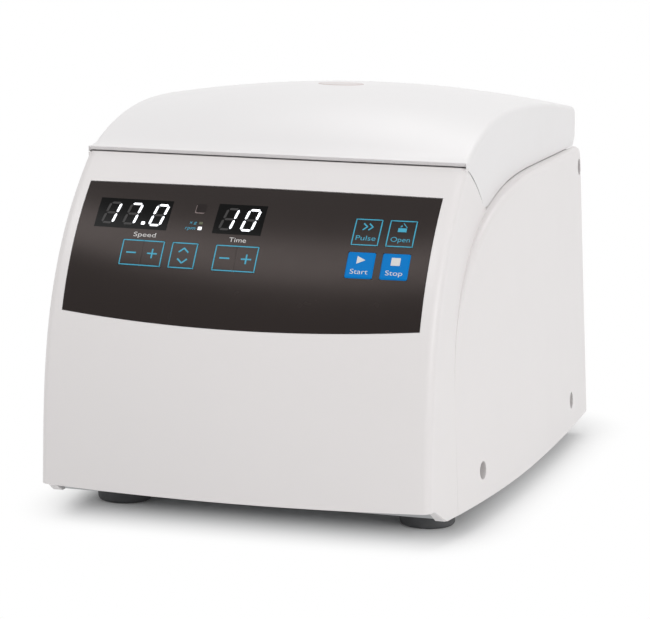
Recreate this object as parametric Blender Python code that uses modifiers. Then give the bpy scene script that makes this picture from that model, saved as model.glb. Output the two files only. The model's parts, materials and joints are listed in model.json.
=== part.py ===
"""Bench microcentrifuge with a hinged lid, in metres, +Z up.

The origin is the centre of the footprint at the underside of the feet. The front faces -Y.
The front of the housing reclines as it rises and is bowed in plan. Each side carries a cheek
whose upper edge is an arch, and the domed lid sits down between the two arches.
"""

import math

import bmesh
import bpy
import numpy as np
from mathutils import Matrix, Vector

# Overall size
DEPTH = 0.352
BODY_WIDTH = 0.2427
HEIGHT = 0.225

# Fits and cuts
FIT_GAP = 0.0003
EASY_GAP = 0.0006
OVERRUN = 0.02

# Housing
WALL = 0.003
SIDE_BOTTOM_Z = 0.014
FRONT_BOTTOM_Z = 0.0225
LID_HEIGHT = 0.0315
SEAM_SETBACK = 0.0657
FRONT_BOW = 0.0108
FRONT_CURVE_POWER_SHARE = 3.3
BOW_FADE_POWER_SHARE = 2.0
SIDE_RECESS = 0.01405
CORE_TOP_DRAW = 0.0012
CORE_REAR_TAPER = 0.0016
CORNER_RADIUS = 0.005
LIP_THICKNESS = 0.0055
LIP_HEIGHT = 0.0175
HINGE_WELL_DROP = 0.002
HINGE_WELL_DEPTH = 0.021
UNDERCUT_FRONT_RUN = 0.018
UNDERCUT_SLOPE_RUN = 0.016

# Cheeks: a bowed side whose outline is a rounded arch
CHEEK_FRONT_SETBACK = 0.050
CHEEK_CROWN_FROM_REAR = 0.116
CHEEK_ARCH_HEIGHT = 0.1187
CHEEK_ABOVE_DECK = 0.0027
CHEEK_ARCH_POWER_SHARE = 2.7
CHEEK_WIDEST_FROM_REAR = 0.1617
CHEEK_FRONT_DRAW = 0.00895
CHEEK_REAR_DRAW = 0.00485
CHEEK_LEAN_SHARE = 0.0514
CHEEK_EDGE_RADIUS = 0.003
CHEEK_REAR_CORNER_RADIUS = 0.006
FLARE_HEIGHT = 0.080
FLARE_TOP_DROP = 0.0287

# Lid
LID_WALL = 0.0026
LID_CROWN = 0.0088
LID_PEAK_STEP = 0.0121
LID_FRONT_DROP_POWER_SHARE = 2.6
LID_REAR_DROP = 0.0133
LID_REAR_DROP_POWER_SHARE = 1.6
LID_REAR_SETBACK = 0.001
LID_SEAM_GAP = 0.0012
LID_EDGE_RADIUS = 0.0032
LID_REAR_BEVEL_HEIGHT = 0.0059
LID_REAR_BEVEL_RUN = 0.004
SWOOP_RUN = 0.0415
SWOOP_STEP = 0.00359
SWOOP_RISE_SHARE = 0.62
LINER_ABOVE_DECK = 0.0055
LID_LINER_THICKNESS = 0.0022
LID_LINER_RIM = 0.004
LID_POST_SIDE_ROOM = 0.0341
LID_POST_FRONT_SETBACK = 0.0445
LID_POST_REAR_SETBACK = 0.036
LID_POST_RADIUS = 0.004

# Lid hinge
HINGE_AXIS_SETBACK = 0.010
HINGE_AXIS_RISE = 0.008
HINGE_SIDE_ROOM = 0.0411
HINGE_PIN_RADIUS = 0.002
HINGE_PIN_LENGTH = 0.018
HINGE_EAR_RADIUS = 0.0042
HINGE_EAR_THICKNESS = 0.003
HINGE_BASE_LENGTH = 0.020
HINGE_BASE_THICKNESS = 0.002
HINGE_LUG_THICKNESS = 0.004

# Sight port in the lid, over the rotor
CHAMBER_END_ROOM = 0.0056
PORT_RADIUS = 0.0125
PORT_SEAT_WIDTH = 0.0016
PORT_THICKNESS = 0.0020

# Control panel
PANEL_TOP_DROP = 0.0140
PANEL_HEIGHT = 0.0637
PANEL_SIDE_MARGIN = 0.0081
PANEL_TOP_ARC = 0.0006
PANEL_BOTTOM_ARC = 0.0038
PANEL_THICKNESS = 0.0008
PANEL_SEAT_GAP = 0.0003
DISPLAY_TOP_DROP = 0.0074
DISPLAY_RISE = 0.0140
DISPLAY_SIDE_MARGIN = 0.0094
SPEED_DISPLAY_WIDTH = 0.0416
TIME_DISPLAY_STEP = 0.0674
TIME_DISPLAY_WIDTH = 0.0270
DISPLAY_DEPTH = 0.0080
DISPLAY_INSET = 0.0024
KEY_ROW_DROP = 0.0329
UPPER_KEY_ROW_DROP = 0.0172
KEY_HEIGHT = 0.0147
KEY_WIDTH = 0.0143
PAIR_KEY_WIDTH = 0.0115
KEY_THICKNESS = 0.0014
KEY_TRAVEL = 0.0005
KEY_PROUD = 0.0002
SPEED_MINUS_STEP = 0.0249
PAIR_KEY_PITCH = 0.0120
UNIT_KEY_STEP = 0.0544
TIME_MINUS_STEP = 0.0102
KEY_COLUMN_PITCH = 0.0184
STOP_SIDE_MARGIN = 0.0171

# Electronics
BOARD_THICKNESS = 0.0016
BOARD_MARGIN = 0.006
BOARD_SIDE_MARGIN = 0.002
POWER_BOARD_LENGTH = 0.090
POWER_BOARD_WIDTH = 0.058
POWER_BOARD_STANDOFF = 0.008
POWER_BOARD_SIDE_ROOM = 0.07635
POWER_BOARD_SETBACK = 0.081
TRANSFORMER_SIZE = 0.034
CAPACITOR_RADIUS = 0.009
CAPACITOR_HEIGHT = 0.030

# Chamber bowl
BOWL_EDGE_ROOM = 0.0012
BOWL_WALL = 0.0020
CHAMBER_DEPTH = 0.0840
BOWL_FLANGE_WIDTH = 0.0035
BOWL_CORNER_RADIUS = 0.012
BOWL_HUB_RADIUS = 0.022
BOWL_HUB_RISE = 0.006
SHAFT_HOLE_RADIUS = 0.0110
GASKET_WIDTH = 0.006
GASKET_HEIGHT = 0.0026

# Drive
SHAFT_RADIUS = 0.0050
MOTOR_RADIUS = 0.0420
MOTOR_TOP_ROOM = 0.0118
MOTOR_BOSS_RADIUS = 0.0150
MOTOR_BOSS_HEIGHT = 0.0035
MOTOR_PLATE_RADIUS = 0.0600
MOTOR_PLATE_THICKNESS = 0.0030
MOUNT_CIRCLE_RADIUS = 0.0510
MOUNT_RADIUS = 0.0080
MOUNT_WAIST_RADIUS = 0.0055
MOUNT_HEIGHT = 0.0140
MOUNT_COUNT = 3

# Rotor
ROTOR_SIDE_ROOM = 0.0080
ROTOR_FLOOR_ROOM = 0.0120
ROTOR_HEIGHT = 0.0380
ROTOR_HUB_DROP = 0.0060
ROTOR_HUB_RADIUS = 0.0180
ROTOR_TAPER_HEIGHT = 0.0060
ROTOR_NUT_RADIUS = 0.0080
ROTOR_NUT_HEIGHT = 0.0050
ROTOR_LID_THICKNESS = 0.0025
ROTOR_LID_RISE = 0.0070
KNOB_RADIUS = 0.0170
KNOB_HEIGHT = 0.0150
KNOB_STEM_RADIUS = 0.0050
KNOB_GRIP_RADIUS = 0.0030
KNOB_GRIP_COUNT = 6
TUBE_PITCH = 0.0144
TUBE_BORE_RADIUS = 0.0055
TUBE_BORE_DEPTH = 0.0330
TUBE_CIRCLE_INSET = 0.0300
TUBE_MOUTH_DROP = 0.0090
TUBE_BORE_STEPS = 8
TUBE_TILT = math.radians(45.0)
TUBE_PHASE_SHARE = 0.25

# Latch
LATCH_SETBACK = 0.0090
LATCH_SLOT_LENGTH = 0.0240
LATCH_SLOT_WIDTH = 0.0080
STRIKER_WIDTH = 0.0180
STRIKER_ROD_RADIUS = 0.0015
STRIKER_BAR_DROP = 0.0140
LATCH_PIVOT_STEP = 0.0120
LATCH_PIVOT_DROP = 0.0300
LATCH_SWING = math.radians(25.0)
LATCH_HOOK_BOSS_RADIUS = 0.0040
LATCH_NOSE_THICKNESS = 0.0030
LATCH_TAIL_LENGTH = 0.0040
LATCH_PIN_RADIUS = 0.0015
LATCH_PIN_LENGTH = 0.0140
LATCH_HOOK_THICKNESS = 0.0060
LATCH_CHEEK_THICKNESS = 0.0020
LATCH_FRAME_WIDTH = 0.0124
LATCH_FRAME_LENGTH = 0.0140
LATCH_FRAME_FOOT = 0.0090
SOLENOID_RADIUS = 0.0080
SOLENOID_LENGTH = 0.0240

# Base, feet and fasteners
BASE_THICKNESS = 0.0020
FOOT_SIDE_ROOM = 0.03445
FRONT_FOOT_SETBACK = 0.0834
REAR_FOOT_SETBACK = 0.0510
FOOT_RADIUS = 0.0158
FOOT_EDGE_RADIUS = 0.0025
FOOT_TAPER = 0.0010
SCREW_RECESS_RADIUS = 0.0050
SCREW_RECESS_DEPTH = 0.0060
SCREW_BOSS_RADIUS = 0.0065
SCREW_BOSS_DEPTH = 0.0120
SCREW_HEAD_RADIUS = 0.0040
SCREW_HEAD_HEIGHT = 0.0030
SCREW_SHANK_RADIUS = 0.0020
SCREW_SHANK_LENGTH = 0.0055
SCREW_DRIVE_WIDTH = 0.0024
SCREW_DRIVE_DEPTH = 0.0014
LOW_SCREW_Z = 0.0305
FRONT_SCREW_SETBACK = 0.0385
REAR_SCREW_SETBACK = 0.0548
HIGH_SCREW_SETBACK = 0.0070
HIGH_SCREW_DROP = 0.0122

# Rear panel and mains parts
REAR_PANEL_SIDE_MARGIN = 0.0161
REAR_PANEL_BOTTOM_Z = 0.0200
REAR_PANEL_TOP_DROP = 0.0200
REAR_PANEL_THICKNESS = 0.0020
REAR_PANEL_SEAT = 0.0050
VENT_COLUMNS = 9
VENT_ROWS = 2
VENT_SLOT_WIDTH = 0.0050
VENT_ROW_GAP = 0.0080
VENT_PITCH = 0.0100
VENT_ABOVE_INLET = 0.0310
VENT_TOP_MARGIN = 0.0110
INLET_SIDE_MARGIN = 0.0350
INLET_Z = 0.0420
INLET_WIDTH = 0.0270
INLET_HEIGHT = 0.0200
INLET_DEPTH = 0.0200
INLET_FLANGE = 0.0040
INLET_FLANGE_THICKNESS = 0.0025
INLET_CAVITY_WALL = 0.0025
INLET_CAVITY_DEPTH = 0.0150
INLET_PIN_LENGTH = 0.0105
INLET_PIN_WIDTH = 0.0022
INLET_PIN_SPACING = 0.0070
ROCKER_STEP = 0.0370
ROCKER_WIDTH = 0.0120
ROCKER_HEIGHT = 0.0190
ROCKER_FRAME_WALL = 0.0025
ROCKER_FRAME_DEPTH = 0.0140
ROCKER_ANGLE = math.radians(9.0)
FUSE_STEP = 0.0300
FUSE_WIDTH = 0.0180
FUSE_HEIGHT = 0.0120
FUSE_DEPTH = 0.0200
FUSE_TRAVEL = 0.0140
FUSE_CASE_WALL = 0.0015
RELEASE_PLUG_RADIUS = 0.0050
RELEASE_PLUG_STEP = 0.0250

# Values worked out from the sizes above
FRONT_Y = -DEPTH / 2
REAR_Y = DEPTH / 2
CORNER_Y = FRONT_Y + FRONT_BOW
SEAM_Y = CORNER_Y + SEAM_SETBACK
LIP_REAR_Y = SEAM_Y + LIP_THICKNESS
CORE_BOTTOM_HALF_WIDTH = BODY_WIDTH / 2 - SIDE_RECESS
CORE_TOP_HALF_WIDTH = CORE_BOTTOM_HALF_WIDTH - CORE_TOP_DRAW
SKIRT_CLEAR_HALF_WIDTH = CORE_TOP_HALF_WIDTH - CORE_REAR_TAPER - LID_WALL - 2 * EASY_GAP
CHEEK_FRONT_HALF_WIDTH = BODY_WIDTH / 2 - CHEEK_FRONT_DRAW
CHEEK_REAR_HALF_WIDTH = BODY_WIDTH / 2 - CHEEK_REAR_DRAW
SEAM_Z = HEIGHT - LID_HEIGHT
DECK_Z = SEAM_Z - LIP_HEIGHT
HINGE_WELL_Z = DECK_Z - HINGE_WELL_DROP
CHEEK_TOP_Z = DECK_Z + CHEEK_ABOVE_DECK
CHEEK_SPRING_Z = CHEEK_TOP_Z - CHEEK_ARCH_HEIGHT
FLARE_HIGH_Z = CHEEK_TOP_Z - FLARE_TOP_DROP
FLARE_LOW_Z = FLARE_HIGH_Z - FLARE_HEIGHT
CHEEK_FRONT_Y = FRONT_Y + CHEEK_FRONT_SETBACK
CHEEK_CROWN_Y = REAR_Y - CHEEK_CROWN_FROM_REAR
CHEEK_WIDEST_Y = REAR_Y - CHEEK_WIDEST_FROM_REAR
LID_EDGE_HEIGHT = HEIGHT - LID_CROWN
LID_REAR_Y = REAR_Y - LID_REAR_SETBACK
LID_REAR_WALL_FOOT_Z = CHEEK_TOP_Z + LID_REAR_BEVEL_HEIGHT
SWOOP_END_Y = SEAM_Y + SWOOP_RUN
SWOOP_REACH_SHARE = (CHEEK_CROWN_Y - SWOOP_END_Y) / (CHEEK_CROWN_Y - CHEEK_FRONT_Y)
SWOOP_FALL_SHARE = (1.0 - SWOOP_REACH_SHARE ** CHEEK_ARCH_POWER_SHARE) ** (1.0 / CHEEK_ARCH_POWER_SHARE)
SWOOP_END_Z = CHEEK_SPRING_Z + CHEEK_ARCH_HEIGHT * SWOOP_FALL_SHARE + SWOOP_STEP
LID_LINER_Z = DECK_Z + LINER_ABOVE_DECK
HINGE_AXIS_Y = REAR_Y - HINGE_AXIS_SETBACK
HINGE_AXIS_Z = DECK_Z + HINGE_AXIS_RISE
HINGE_SPACING = 2 * (CORE_TOP_HALF_WIDTH - HINGE_SIDE_ROOM)
LID_POST_X = CORE_TOP_HALF_WIDTH - LID_POST_SIDE_ROOM
LID_POST_FRONT_Y = SEAM_Y + LID_POST_FRONT_SETBACK
LID_POST_REAR_Y = HINGE_AXIS_Y - LID_POST_REAR_SETBACK
PANEL_TOP_Z = SEAM_Z - PANEL_TOP_DROP
PANEL_BOTTOM_Z = PANEL_TOP_Z - PANEL_HEIGHT
PANEL_HALF_WIDTH = CORE_TOP_HALF_WIDTH - PANEL_SIDE_MARGIN
DISPLAY_TOP_Z = PANEL_TOP_Z - DISPLAY_TOP_DROP
DISPLAY_BOTTOM_Z = DISPLAY_TOP_Z - DISPLAY_RISE
SPEED_DISPLAY_LEFT_X = DISPLAY_SIDE_MARGIN - PANEL_HALF_WIDTH
TIME_DISPLAY_LEFT_X = SPEED_DISPLAY_LEFT_X + TIME_DISPLAY_STEP
KEY_ROW_Z = PANEL_TOP_Z - KEY_ROW_DROP
UPPER_KEY_ROW_Z = PANEL_TOP_Z - UPPER_KEY_ROW_DROP
SPEED_MINUS_X = SPEED_DISPLAY_LEFT_X + SPEED_MINUS_STEP
SPEED_PLUS_X = SPEED_MINUS_X + PAIR_KEY_PITCH
UNIT_KEY_X = SPEED_DISPLAY_LEFT_X + UNIT_KEY_STEP
TIME_MINUS_X = TIME_DISPLAY_LEFT_X + TIME_MINUS_STEP
TIME_PLUS_X = TIME_MINUS_X + PAIR_KEY_PITCH
STOP_X = PANEL_HALF_WIDTH - STOP_SIDE_MARGIN
START_X = STOP_X - KEY_COLUMN_PITCH
BOARD_HALF_WIDTH = PANEL_HALF_WIDTH - BOARD_SIDE_MARGIN
POWER_BOARD_X = POWER_BOARD_SIDE_ROOM - BODY_WIDTH / 2
POWER_BOARD_Y = FRONT_Y + POWER_BOARD_SETBACK
LATCH_Y = LIP_REAR_Y + LATCH_SETBACK
LATCH_PIVOT_Y = LATCH_Y - LATCH_PIVOT_STEP
LATCH_PIVOT_Z = DECK_Z - LATCH_PIVOT_DROP
STRIKER_BAR_Z = DECK_Z - STRIKER_BAR_DROP
CHAMBER_FRONT_Y = LATCH_Y + LATCH_SLOT_WIDTH / 2
CHAMBER_REAR_Y = REAR_Y - HINGE_WELL_DEPTH
BOWL_ROOM_ACROSS = SKIRT_CLEAR_HALF_WIDTH - BOWL_EDGE_ROOM
BOWL_ROOM_ALONG = (CHAMBER_REAR_Y - CHAMBER_FRONT_Y) / 2 - CHAMBER_END_ROOM
BOWL_RADIUS = min(BOWL_ROOM_ACROSS, BOWL_ROOM_ALONG) - BOWL_FLANGE_WIDTH
ROTOR_AXIS_Y = CHAMBER_FRONT_Y + CHAMBER_END_ROOM + BOWL_FLANGE_WIDTH + BOWL_RADIUS
LID_PEAK_Y = ROTOR_AXIS_Y - LID_PEAK_STEP
BOWL_FLOOR_Z = DECK_Z - CHAMBER_DEPTH
ROTOR_RADIUS = BOWL_RADIUS - BOWL_WALL - ROTOR_SIDE_ROOM
ROTOR_SKIRT_Z = BOWL_FLOOR_Z + ROTOR_FLOOR_ROOM
ROTOR_RIM_Z = ROTOR_SKIRT_Z + ROTOR_HEIGHT
ROTOR_HUB_Z = ROTOR_RIM_Z - ROTOR_HUB_DROP
TUBE_CIRCLE_RADIUS = ROTOR_RADIUS - TUBE_CIRCLE_INSET
TUBE_MOUTH_Z = ROTOR_RIM_Z - TUBE_MOUTH_DROP
TUBE_COUNT = int(2 * math.pi * TUBE_CIRCLE_RADIUS / TUBE_PITCH)
FOOT_X = BODY_WIDTH / 2 - FOOT_SIDE_ROOM
FRONT_FOOT_Y = FRONT_Y + FRONT_FOOT_SETBACK
REAR_FOOT_Y = REAR_Y - REAR_FOOT_SETBACK
FRONT_SCREW_Y = CHEEK_FRONT_Y + FRONT_SCREW_SETBACK
REAR_SCREW_Y = REAR_Y - REAR_SCREW_SETBACK
HIGH_SCREW_Y = REAR_Y - HIGH_SCREW_SETBACK
HIGH_SCREW_Z = CHEEK_TOP_Z - HIGH_SCREW_DROP
RELEASE_PLUG_Y = LATCH_Y + RELEASE_PLUG_STEP
REAR_PANEL_HALF_WIDTH = CORE_TOP_HALF_WIDTH - REAR_PANEL_SIDE_MARGIN
REAR_PANEL_TOP_Z = DECK_Z - REAR_PANEL_TOP_DROP
INLET_X = INLET_SIDE_MARGIN - REAR_PANEL_HALF_WIDTH
ROCKER_X = INLET_X + ROCKER_STEP
FUSE_X = ROCKER_X + FUSE_STEP
VENT_TOP_Z = REAR_PANEL_TOP_Z - VENT_TOP_MARGIN
VENT_BOTTOM_Z = INLET_Z + VENT_ABOVE_INLET
VENT_SLOT_HEIGHT = (VENT_TOP_Z - VENT_BOTTOM_Z - VENT_ROW_GAP) / VENT_ROWS
BASE_Z = SIDE_BOTTOM_Z + FIT_GAP
BASE_TOP_Z = BASE_Z + BASE_THICKNESS
MOTOR_PLATE_Z = BASE_TOP_Z + MOUNT_HEIGHT + 2 * FIT_GAP
MOTOR_FOOT_Z = MOTOR_PLATE_Z + MOTOR_PLATE_THICKNESS + FIT_GAP
MOTOR_TOP_Z = BOWL_FLOOR_Z - MOTOR_TOP_ROOM
MOTOR_HEIGHT = MOTOR_TOP_Z - MOTOR_FOOT_Z
BOWL_RIM_Z = DECK_Z + FIT_GAP + BOWL_WALL
CHAMBER_HOLE_RADIUS = BOWL_RADIUS + EASY_GAP

SMOOTH_ANGLE = math.radians(35.0)
ROUND_STEPS = 36
SMALL_STEPS = 12

SECTION_SHARES = (0.0, 0.25, 0.5, 0.72, 0.88)
CHEEK_COLUMN_SHARES = (0.2, 0.45, 0.75, 1.0)
STRIP_COLUMN_SHARES = (0.0, 0.25, 0.5, 0.75, 1.0)
CORNER_TURN_SHARES = (0.0, 0.35, 0.7, 1.0)
PROFILE_POINTS = 11
ARCH_POINTS = 17
STRIP_ROWS = 10
PANEL_COLUMNS = 11
PANEL_ROWS = 8


# The cheek's rounded edge: steps in from the rim and falls of the surface, as shares of its radius
CHEEK_ROUNDING_SHARES = ((0.0, 1.0), (0.3, 0.3), (1.0, 0.0))
FLAT_RIM_SHARES = ((0.0, 0.0),)

# Shares of other sizes
LID_EDGE_FADE_SHARE = 3.0
LID_REAR_BEVEL_OVER_SHARE = 3.0
LATCH_ROOF_SHARE = 0.7
ROTOR_LAND_SHARE = 1.5
KNOB_GRIP_CUT_SHARE = 1.5
RELEASE_LIP_SHARE = 1.4
ROCKER_THICKNESS_SHARE = 0.36
RISE_LIMIT_SHARE = 1.2
MERGE_DISTANCE = FIT_GAP / 30


# Scene set-up

for old in list(bpy.data.objects):
    bpy.data.objects.remove(old, do_unlink=True)

parts = bpy.data.collections.new("microcentrifuge")
cutters = bpy.data.collections.new("cutters")
bpy.context.scene.collection.children.link(parts)
bpy.context.scene.collection.children.link(cutters)


def finish(name, colour, roughness, metallic=0.0):
    """A material with the colour, roughness and metallic value of one finish."""
    material = bpy.data.materials.new(name)
    material.use_nodes = True
    shader = material.node_tree.nodes["Principled BSDF"]
    shader.inputs["Base Color"].default_value = (*colour, 1.0)
    shader.inputs["Roughness"].default_value = roughness
    shader.inputs["Metallic"].default_value = metallic
    return material


WHITE = finish("white_moulding", (0.80, 0.79, 0.79), 0.42)
LINER = finish("grey_liner", (0.55, 0.55, 0.56), 0.50)
STEEL = finish("steel", (0.62, 0.62, 0.63), 0.30, 1.0)
ALLOY = finish("anodised_alloy", (0.35, 0.36, 0.38), 0.35, 1.0)
RUBBER = finish("black_rubber", (0.03, 0.03, 0.03), 0.80)
FILM = finish("dark_film", (0.045, 0.038, 0.036), 0.40)
KEY_FILM = finish("key_film", (0.05, 0.042, 0.04), 0.40)
BLUE_KEY = finish("blue_key", (0.01, 0.15, 0.60), 0.38)
GLASS = finish("clear_window", (0.80, 0.76, 0.76), 0.15)
BOARD = finish("circuit_board", (0.02, 0.14, 0.06), 0.50)
DISPLAY = finish("display_block", (0.02, 0.02, 0.02), 0.30)
COPPER = finish("wound_parts", (0.10, 0.10, 0.11), 0.55)
BLACK = finish("black_moulding", (0.02, 0.02, 0.02), 0.45)
SMOKE = finish("rotor_lid_plastic", (0.10, 0.11, 0.13), 0.25)


# Building helpers

def place_object(name, mesh, material, collection=parts):
    """Puts a mesh in a collection as a named object."""
    thing = bpy.data.objects.new(name, mesh)
    collection.objects.link(thing)
    if material:
        mesh.materials.append(material)
    return thing


def mesh_from(bm, name):
    """Turns a bmesh into a mesh whose faces point outwards."""
    bmesh.ops.recalc_face_normals(bm, faces=bm.faces)
    mesh = bpy.data.meshes.new(name)
    bm.to_mesh(mesh)
    bm.free()
    return mesh


def smooth(thing):
    """Shades a piece smooth and keeps its hard edges."""
    thing.data.shade_smooth()
    thing.data.set_sharp_from_angle(angle=SMOOTH_ANGLE)
    return thing


def loft(name, loops, material, collection=parts):
    """Joins closed loops of equal length in order and closes both ends."""
    bm = bmesh.new()
    rings = [[bm.verts.new(point) for point in loop] for loop in loops]
    count = len(rings[0])
    for first, second in zip(rings, rings[1:]):
        for index in range(count):
            follow = (index + 1) % count
            bm.faces.new((first[index], first[follow], second[follow], second[index]))
    bm.faces.new(rings[0])
    bm.faces.new(list(reversed(rings[-1])))
    bmesh.ops.remove_doubles(bm, verts=bm.verts, dist=MERGE_DISTANCE)
    bmesh.ops.dissolve_degenerate(bm, edges=bm.edges, dist=MERGE_DISTANCE)
    return smooth(place_object(name, mesh_from(bm, name), material, collection))


def box(name, low, high, material, bevel=0.0, collection=parts):
    """A block between two corners, with its edges eased by a Bevel."""
    bm = bmesh.new()
    bmesh.ops.create_cube(bm, size=1.0)
    low, high = Vector(low), Vector(high)
    size = high - low
    bmesh.ops.scale(bm, vec=size, verts=bm.verts)
    thing = place_object(name, mesh_from(bm, name), material, collection)
    thing.location = (low + high) / 2
    if bevel:
        add_bevel(thing, bevel)
    return thing


def add_bevel(thing, width, segments=2):
    """Rounds the hard edges of a piece."""
    bevel = thing.modifiers.new("rounded_edges", "BEVEL")
    bevel.width = width
    bevel.segments = segments
    bevel.limit_method = "ANGLE"
    bevel.angle_limit = SMOOTH_ANGLE
    return bevel


def rod(name, start, end, radius, material, steps=SMALL_STEPS, collection=parts, end_radius=None):
    """A round bar between two points."""
    start, end = Vector(start), Vector(end)
    bm = bmesh.new()
    bmesh.ops.create_cone(bm, cap_ends=True, segments=steps, radius1=radius,
                          radius2=radius if end_radius is None else end_radius,
                          depth=(end - start).length)
    turn = (end - start).to_track_quat("Z", "Y").to_matrix().to_4x4()
    bmesh.ops.transform(bm, matrix=turn, verts=bm.verts)
    thing = place_object(name, mesh_from(bm, name), material, collection)
    thing.location = (start + end) / 2
    return smooth(thing)


def turned(name, profile, place, material, steps=ROUND_STEPS, closed=False, collection=parts):
    """A profile of radius and height, run down its outer side, turned about a vertical axis."""
    mesh = bpy.data.meshes.new(name)
    points = [(radius, 0.0, height) for radius, height in profile]
    edges = [(index, index + 1) for index in range(len(points) - 1)]
    if closed:
        edges.append((len(points) - 1, 0))
    mesh.from_pydata(points, edges, [])
    thing = place_object(name, mesh, material, collection)
    thing.location = place
    screw = thing.modifiers.new("turned", "SCREW")
    screw.axis = "Z"
    screw.steps = steps
    screw.render_steps = steps
    screw.use_merge_vertices = True
    screw.merge_threshold = MERGE_DISTANCE
    screw.use_smooth_shade = True
    return thing


def prism(name, outline, x_low, x_high, material, collection=parts):
    """A flat outline in Y and Z, extruded along X."""
    loops = [[(x, y, z) for y, z in outline] for x in (x_low, x_high)]
    return loft(name, loops, material, collection)


def tool_shape(thing):
    """Marks a piece as a cutter that is never shown."""
    thing.hide_render = True
    thing.display_type = "WIRE"
    return thing


def boolean(target, other, operation):
    """Cuts, joins or keeps the overlap of a target with another shape."""
    tool_shape(other)
    step = target.modifiers.new(other.name, "BOOLEAN")
    step.operation = operation
    step.solver = "EXACT"
    step.object = other


def cut(target, other):
    boolean(target, other, "DIFFERENCE")


def join(target, other):
    boolean(target, other, "UNION")


def cut_box(target, name, low, high):
    cut(target, box(name, low, high, None, collection=cutters))


def cut_rod(target, name, start, end, radius, steps=SMALL_STEPS):
    cut(target, rod(name, start, end, radius, None, steps, cutters))


def join_box(target, name, low, high):
    join(target, box(name, low, high, None, collection=cutters))


def join_rod(target, name, start, end, radius, steps=SMALL_STEPS):
    join(target, rod(name, start, end, radius, None, steps, cutters))


def axis_empty(name, place):
    """An empty on a joint's axis, which carries the pieces that move about it."""
    empty = bpy.data.objects.new(name, None)
    empty.empty_display_size = SCREW_BOSS_RADIUS
    empty.location = place
    parts.objects.link(empty)
    return empty


def carry(empty, *things):
    """Parents pieces to an empty and leaves them where they are."""
    for thing in things:
        thing.parent = empty
        thing.matrix_parent_inverse = Matrix.Translation(-empty.location)


# Housing surface

def rise_share(z):
    """Height up the front face, from 0 at its foot to 1 at the lid's seam."""
    return np.clip((np.asarray(z, float) - FRONT_BOTTOM_Z) / (SEAM_Z - FRONT_BOTTOM_Z), 0.0,
                   RISE_LIMIT_SHARE)


def front_y(x_share, z):
    """Front face: the setback grows with a power of the height, and the plan bow fades out."""
    rise = rise_share(z)
    setback = SEAM_SETBACK * rise ** FRONT_CURVE_POWER_SHARE
    bow = FRONT_BOW * (1.0 - x_share ** 2) * (1.0 - rise ** BOW_FADE_POWER_SHARE)
    return CORNER_Y + setback - bow


def core_half_width(y, z):
    """Half-width of the core between the cheeks, which draws in a little upwards and rearwards."""
    height_share = (z - FRONT_BOTTOM_Z) / (SEAM_Z - FRONT_BOTTOM_Z)
    length_share = np.clip((y - SEAM_Y) / (REAR_Y - SEAM_Y), 0.0, 1.0)
    draw_in = (CORE_BOTTOM_HALF_WIDTH - CORE_TOP_HALF_WIDTH) * height_share
    return CORE_BOTTOM_HALF_WIDTH - draw_in - CORE_REAR_TAPER * length_share


def cheek_half_width(y, z):
    """Cheek surface: a bow in plan, widest near the middle, which leans in as it rises."""
    front_run = CHEEK_WIDEST_Y - CHEEK_FRONT_Y
    rear_run = REAR_Y - CHEEK_WIDEST_Y
    half = BODY_WIDTH / 2
    front = half - (half - CHEEK_FRONT_HALF_WIDTH) * (np.abs(y - CHEEK_WIDEST_Y) / front_run) ** 2
    rear = half - (half - CHEEK_REAR_HALF_WIDTH) * (np.abs(y - CHEEK_WIDEST_Y) / rear_run) ** 2
    return np.where(y < CHEEK_WIDEST_Y, front, rear) - CHEEK_LEAN_SHARE * (z - SIDE_BOTTOM_Z)


def arch_y(z, grow=0.0):
    """The cheek's front edge at a height: upright at the foot, then a superellipse."""
    reach = CHEEK_CROWN_Y - CHEEK_FRONT_Y + grow
    height = CHEEK_TOP_Z - CHEEK_SPRING_Z + grow
    share = np.clip((z - CHEEK_SPRING_Z) / height, 0.0, 1.0)
    power = CHEEK_ARCH_POWER_SHARE
    return CHEEK_CROWN_Y - reach * (1.0 - share ** power) ** (1.0 / power)


def arch_outline(grow=0.0, points=ARCH_POINTS):
    """The arch from the front foot over the crown to its level top, grown outwards evenly."""
    reach = CHEEK_CROWN_Y - CHEEK_FRONT_Y + grow
    height = CHEEK_TOP_Z - CHEEK_SPRING_Z + grow
    turn = np.linspace(0.0, math.pi / 2, points)
    power = 2.0 / CHEEK_ARCH_POWER_SHARE
    ys = CHEEK_CROWN_Y - reach * np.cos(turn) ** power
    zs = CHEEK_SPRING_Z + height * np.sin(turn) ** power
    return list(zip(ys, zs))


def swoop_outline(grow=0.0, points=6):
    """The lid's side edge from the seam down to the arch, a curve that steepens."""
    run = np.linspace(0.0, 1.0, points)
    ys = SEAM_Y + grow + (SWOOP_END_Y - SEAM_Y) * run
    drop = SWOOP_RISE_SHARE * run + (1.0 - SWOOP_RISE_SHARE) * run ** 2
    zs = SEAM_Z - (SEAM_Z - SWOOP_END_Z) * drop + grow
    return list(zip(ys, zs))


def skirt_outline(grow):
    """The line along which lid and housing part: seam, swoop, arch, and level to the rear."""
    swoop = swoop_outline(grow)
    arch = [point for point in arch_outline(grow) if point[0] > SWOOP_END_Y + grow]
    return swoop + arch


def corner_stations():
    """Shares across half the width with the offsets that round the upright corner."""
    stations = [(share, 0.0, 0.0) for share in SECTION_SHARES]
    for turn_share in CORNER_TURN_SHARES:
        turn = turn_share * math.pi / 2
        stations.append((1.0, CORNER_RADIUS * (1.0 - math.sin(turn)),
                         CORNER_RADIUS * (1.0 - math.cos(turn))))
    return stations


def full_stations():
    """The same stations over the whole width, from the left side to the right."""
    half = corner_stations()
    left = [(-share, -step_in, back) for share, step_in, back in reversed(half)]
    return left + half[1:]


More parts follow.
